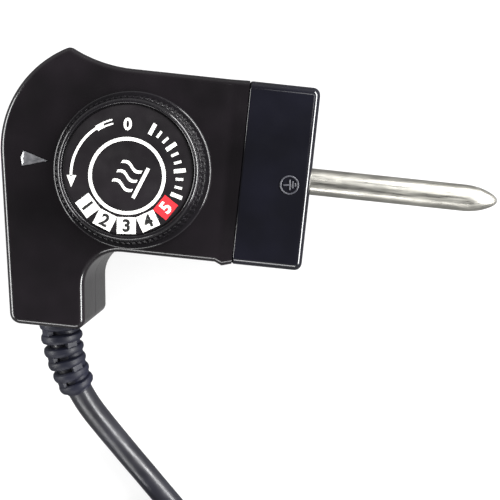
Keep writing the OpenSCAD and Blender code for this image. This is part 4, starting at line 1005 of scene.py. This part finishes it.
class THERMOSTAT_OT_cord(bpy.types.Operator):
    """Lay the mains cord along its route, from inside the leg's relief to the plug"""

    bl_idname = "thermostat.cord"
    bl_label = "Cord"

    def execute(self, context):
        cord = curve_through("mains_cord", cord_route(), CORD_R)
        dress(cord, "cord", "cord_black", "casing", "cord_run", "cord_coil", "cord_tail")
        return {"FINISHED"}


def sleeve(name, length, root_r, tip_r, rings):
    """A ribbed relief along +Z from the origin: thick rings on a thin core, tied by staggered bridges."""
    bore, core_t, steps = CORD_R + 0.02, 0.35, 40
    pitch = length / rings
    pieces = [turned(name, [(bore, 0), (bore + core_t, 0), (bore + core_t - 0.05, length), (bore, length),
        (bore, 0)], steps)]
    for k in range(rings):
        r = root_r + (tip_r - root_r) * (k + 0.5) / rings
        z0, z1 = k * pitch + 0.08 * pitch, k * pitch + 0.76 * pitch
        foot = bore + 0.1
        ring = [(foot, z0), (r - 0.7, z0), (r - 0.2, z0 + 0.3), (r, z0 + 0.9)]
        ring += [(r, z1 - 0.9), (r - 0.25, z1 - 0.3), (r - 0.8, z1), (foot, z1), (foot, z0)]
        pieces.append(turned("ring", ring, steps))
        if k < rings - 1:
            half, lap, gap = 1.5, 0.3, 0.32 * pitch
            for side in (0, 180):
                bridge = block("bridge", (bore, -half, z1 - lap), (r - 0.7, half, z1 + gap + lap))
                pieces.append(put(bridge, turn=side + 90 * (k % 2) + 45))
    obj = joined(*pieces)
    break_edges(obj, 0.12)
    outwards(obj)
    return obj


class THERMOSTAT_OT_reliefs(bpy.types.Operator):
    """Model the ribbed strain reliefs at the leg and at the plug"""

    bl_idname = "thermostat.reliefs"
    bl_label = "Strain reliefs"

    def execute(self, context):
        inner, flange_r, flange_t, neck_r, bore, lap = 5.03, 6.2, 2, 4.5, 3.55, 0.3
        relief = put(sleeve("leg_relief", 22, 6.1, 5.0, 6), z=inner + lap / 2)
        root = turned("root", [(bore, 0), (flange_r, 0), (flange_r, flange_t), (neck_r, flange_t),
            (neck_r, inner + lap), (bore, inner + lap), (bore, 0)], 40)
        relief = lay_along_x(joined(relief, root))
        start = [EXIT - EXIT_WAY * inner, EXIT - EXIT_WAY * inner / 2]
        path = curve_through("relief_path", start + cord_route()[:12])
        path.data.resolution_u = 12
        finish_with(relief, "CURVE", object=path, deform_axis="POS_X")
        drop(path)
        smooth(relief)
        dress(relief, "relief", "relief_rubber", "casing", "strain_relief")

        tail = aim(sleeve("plug_relief_cut", PLUG_RELIEF_L, 5.9, 4.2, 5), PLUG_HEEL, -PLUG_WAY)
        smooth(tail)
        dress(tail, "relief", "relief_rubber", "casing", "plug_relief")
        return {"FINISHED"}


class THERMOSTAT_OT_plug(bpy.types.Operator):
    """Model the moulded plug body with its grip, pin holes and side recesses"""

    bl_idname = "thermostat.plug"
    bl_label = "Plug"

    def execute(self, context):
        length, r, face_r, face_sunk, heel_r, rim = 38.0, 18.5, 16.45, 2, 10.0, 29.0
        cone_slope, first_groove, groove_pitch = 3.6 / 15.2, 5, 3.0
        profile = [(heel_r - 1, 0), (heel_r - 0.3, 0.3), (heel_r, 1)]
        for k in range(5):
            z = first_groove + groove_pitch * k
            cone = heel_r + cone_slope * z
            profile += [(cone, z - 0.9), (cone - 0.6, z - 0.4)]
            profile += [(cone - 0.55, z + 0.4), (cone + 0.25, z + 0.9)]
        profile += [(15.5, 25), (17.4, 28), (r, rim), (r, length - 0.6), (r - 0.6, length), (face_r, length),
            (face_r, length - face_sunk), (0, length - face_sunk)]
        plug = turned("plug_shell", profile, 96)
        break_edges(plug, 0.2, angle=30)

        pin_x, pin_r, earth_y, earth_r = 9.5, 2.05, 10, 2.4
        clip_half, clip_in, clip_out = 4.65, 16.9, 18.6
        holes = [peg("pin_cutter", (pin_x * side, 0), length - 10, length + 1, pin_r) for side in (-1, 1)]
        holes.append(peg("earth_cutter", (0, earth_y), length - 16, length + 1, earth_r))
        for low, high in ((-clip_out, -clip_in), (clip_in, clip_out)):
            holes.append(block("clip_cutter", (-clip_half, low, rim - 1), (clip_half, high, length + 1)))
        cut(plug, *holes)
        aim(plug, PLUG_HEEL, PLUG_WAY)
        smooth(plug, 28)
        dress(plug, "plug", "plug_black", "casing", "plug_body")
        return {"FINISHED"}


class THERMOSTAT_OT_solids(bpy.types.Operator):
    """Give every solid that stays its real finish"""

    bl_idname = "thermostat.solids"
    bl_label = "Finishes of the solids"

    def execute(self, context):
        for finish_name, names in FINISH_OF_NODE.items():
            for node in names.split():
                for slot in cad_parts[node].material_slots:
                    slot.material = MATERIALS[finish_name]
        carried = [bpy.data.objects[name] for name in ("leg_relief", "plug_relief_cut", "plug_shell")]
        nodes = ("coil_tie", "plug_face", "plug_pins", "plug_earth_clips")
        carried += [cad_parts[name] for name in nodes]
        return {"FINISHED"}


# Stage. Each softbox has its place and size in metres, and its share of the light's power.

SOFTBOXES = {
    "back_light": ((0.36, 0.42, 0.30), (0.4, 0.16), 1.0),
    "right_light": ((0.60, 0.02, 0.34), (0.6, 0.13), 1.7),
    "left_light": ((-0.55, -0.08, 0.26), (0.6, 0.14), 0.8),
    "front_light": ((-0.10, -0.60, 0.30), (0.5, 0.12), 0.35),
    "probe_light": ((0.22, 0.28, 0.85), (0.5, 0.10), 0.14),
}
LIGHTS_AIM = Vector((-0.02, -0.01, 0.01))
CAMERA_AT = Vector((-15.6, -4.2, 219.8))
CAMERA_AIM = Vector((-14, -19.8, 15.8))
CAMERA_ROLL = math.radians(6)


def white_table(look):
    """Matt white board, lit evenly: it shows as plain white and takes soft shadows."""
    material = bpy.data.materials.new("Matt_white_table")
    tree = empty_tree(material)
    board = add_node(tree, "ShaderNodeBsdfPrincipled",
        {"Base Color": linear(hex_code(look.floor_colour)), "Roughness": 0.85})
    rays = add_node(tree, "ShaderNodeLightPath").outputs
    # Mirrored in gloss and metal the table is a mid grey, as round a lit sweep
    dim = add_node(tree, "ShaderNodeEmission", {"Strength": look.table_in_gloss})
    ground = add_node(tree, "ShaderNodeMixShader",
        {0: rays["Is Glossy Ray"], 1: board.outputs[0], 2: dim.outputs[0]})
    # Seen straight or through the lens it is mostly plain white, and the rest of it keeps the shadow
    seen = add_node(tree, "ShaderNodeMath", {0: rays["Is Camera Ray"], 1: rays["Is Transmission Ray"]},
        operation="MAXIMUM")
    plain_share = 0.8
    share = add_node(tree, "ShaderNodeMath", {0: seen.outputs[0], 1: plain_share}, operation="MULTIPLY")
    glow = add_node(tree, "ShaderNodeEmission", {"Strength": 1.0})
    mix = add_node(tree, "ShaderNodeMixShader",
        {0: share.outputs[0], 1: ground.outputs[0], 2: glow.outputs[0]})
    add_node(tree, "ShaderNodeOutputMaterial", {"Surface": mix.outputs[0]})
    return material


class THERMOSTAT_OT_stage(bpy.types.Operator):
    """Set the camera as the photograph's, the pale floor, the soft lights and the world"""

    bl_idname = "thermostat.stage"
    bl_label = "Stage"

    def execute(self, context):
        look = context.scene.thermostat_look
        back = (CAMERA_AT - CAMERA_AIM).normalized()
        right = Vector((math.cos(CAMERA_ROLL), math.sin(CAMERA_ROLL), 0))
        right = (right - back * right.dot(back)).normalized()
        turn = Matrix((right, back.cross(right), back)).transposed().to_4x4()
        bpy.ops.object.camera_add(location=CAMERA_AT * MM)
        camera = named("photo_camera")
        camera.matrix_world = Matrix.Translation(CAMERA_AT * MM) @ turn
        camera.data.lens = look.camera_lens
        camera.data.sensor_width = 36
        camera.data.clip_start = 0.01
        context.scene.camera = camera

        clear_selection()
        bpy.ops.mesh.primitive_plane_add(size=6, location=(0, 0, TABLE_Z * MM))
        floor = named("floor")
        floor.data.materials.append(white_table(look))

        for name, (place, size, power) in SOFTBOXES.items():
            clear_selection()
            bpy.ops.object.light_add(type="AREA", location=place)
            light = named(name)
            light.data.shape = "RECTANGLE"
            light.data.size, light.data.size_y = size
            light.data.energy = look.light_power * power
            light.rotation_euler = (LIGHTS_AIM - Vector(place)).to_track_quat("-Z", "Y").to_euler()

        # A tent that is bright at its sides and darker overhead, so that flat tops stay black
        sides, from_height, to_height = 0.75, 0.3, 0.85
        world = bpy.data.worlds.new("Light_tent")
        context.scene.world = world
        tree = empty_tree(world)
        way = add_node(tree, "ShaderNodeTexCoord").outputs["Generated"]
        height = add_node(tree, "ShaderNodeSeparateXYZ", {0: way}).outputs["Z"]
        strength = add_node(tree, "ShaderNodeMapRange", {"Value": height, "From Min": from_height,
            "From Max": to_height, "To Min": sides, "To Max": look.sky_top}).outputs[0]
        sky = add_node(tree, "ShaderNodeBackground", {"Strength": strength})
        add_node(tree, "ShaderNodeOutputWorld", {"Surface": sky.outputs[0]})
        context.scene.view_settings.view_transform = "Standard"
        return {"FINISHED"}


# Settings, panel and registration


class ThermostatSizes(bpy.types.PropertyGroup):
    """Sizes that a user would change"""

    case_edge: FloatProperty(name="Edge rounding", description="Rounding of the casing's outer edges",
        default=1.8 * MM, min=0.5 * MM, max=2.4 * MM, subtype="DISTANCE", unit="LENGTH", precision=5)
    case_wall: FloatProperty(name="Casing wall", description="Wall of both casing halves",
        default=WALL * MM, min=1.5 * MM, max=2.4 * MM, subtype="DISTANCE", unit="LENGTH", precision=5)
    dial_ribs: IntProperty(name="Grip ribs", description="Ribs round the dial", default=80, min=40, max=120)


def colour_setting(label, about, code):
    """A colour's setting, shown as in sRGB, with a hex code for its default."""
    return FloatVectorProperty(name=label, description=about, size=3, min=0, max=1,
        default=channels(code), subtype="COLOR_GAMMA")


class ThermostatLook(bpy.types.PropertyGroup):
    """Colours, light and camera that a user would change"""

    # The warm cast of this default is a painted reflection of warm surroundings
    case_colour: colour_setting("Casing", "Colour of both casing halves", "#0f0d0f")
    # The blue cast of this default is a painted reflection
    hood_colour: colour_setting("Hood", "Colour of the hood", "#0b0b10")
    knob_colour: colour_setting("Knob", "Colour of the knob", "#0f0e10")
    face_colour: colour_setting("Dial face", "Colour of the dial's face", "#121012")
    print_colour: colour_setting("Print", "Colour of the pale print", "#d6d6d2")
    full_heat_colour: colour_setting("Full heat", "Colour of the last heat step", "#c8232b")
    lens_colour: colour_setting("Pointer lens", "Colour of the pointer lens", "#77777b")
    cord_colour: colour_setting("Cord", "Colour of the sheath", "#151519")
    relief_colour: colour_setting("Reliefs", "Colour of the strain reliefs", "#0d0e18")
    plug_colour: colour_setting("Plug", "Colour of the plug's body", "#141416")
    floor_colour: colour_setting("Floor", "Colour of the table", "#f5f5f5")
    camera_lens: FloatProperty(name="Lens", description="Focal length of the camera on a 36 mm sensor",
        default=56, min=20, max=200, unit="CAMERA")
    light_power: FloatProperty(name="Softbox power", description="Power of the back one; the rest follow it",
        default=7, min=0, subtype="POWER", unit="POWER")
    sky_top: FloatProperty(name="Tent's top", description="Brightness of the light tent straight above",
        default=0.1, min=0, max=1, subtype="FACTOR")
    table_in_gloss: FloatProperty(name="Table in gloss", description="Brightness of the table in reflections",
        default=0.32, min=0, max=1, subtype="FACTOR")


STEPS = (
    "finishes", "stage", "cord", "casing", "hood", "probe", "knob", "dial_print", "lens", "reliefs", "plug",
    "solids",
)


class THERMOSTAT_PT_panel(bpy.types.Panel):
    """Lists the settings and the steps that build the part"""

    bl_idname = "THERMOSTAT_PT_panel"
    bl_label = "Griddle thermostat cord"
    bl_space_type = "VIEW_3D"
    bl_region_type = "UI"
    bl_category = "Thermostat"

    def draw(self, context):
        column = self.layout.column(align=True)
        for group in (context.scene.thermostat_sizes, context.scene.thermostat_look):
            for key in group.__annotations__:
                column.prop(group, key)
        column.separator()
        for step in STEPS:
            column.operator("thermostat." + step)


CLASSES = (
    ThermostatSizes, ThermostatLook, THERMOSTAT_OT_finishes, THERMOSTAT_OT_stage, THERMOSTAT_OT_cord,
    THERMOSTAT_OT_casing, THERMOSTAT_OT_hood, THERMOSTAT_OT_probe, THERMOSTAT_OT_knob,
    THERMOSTAT_OT_dial_print, THERMOSTAT_OT_lens, THERMOSTAT_OT_reliefs, THERMOSTAT_OT_plug,
    THERMOSTAT_OT_solids, THERMOSTAT_PT_panel,
)


def register():
    for cls in CLASSES:
        bpy.utils.register_class(cls)
    bpy.types.Scene.thermostat_sizes = PointerProperty(type=ThermostatSizes)
    bpy.types.Scene.thermostat_look = PointerProperty(type=ThermostatLook)


def unregister():
    del bpy.types.Scene.thermostat_look
    del bpy.types.Scene.thermostat_sizes
    for cls in reversed(CLASSES):
        bpy.utils.unregister_class(cls)


def main():
    register()
    clear_selection()
    for step in STEPS:
        getattr(bpy.ops.thermostat, step)()


if __name__ == "__main__":
    main()
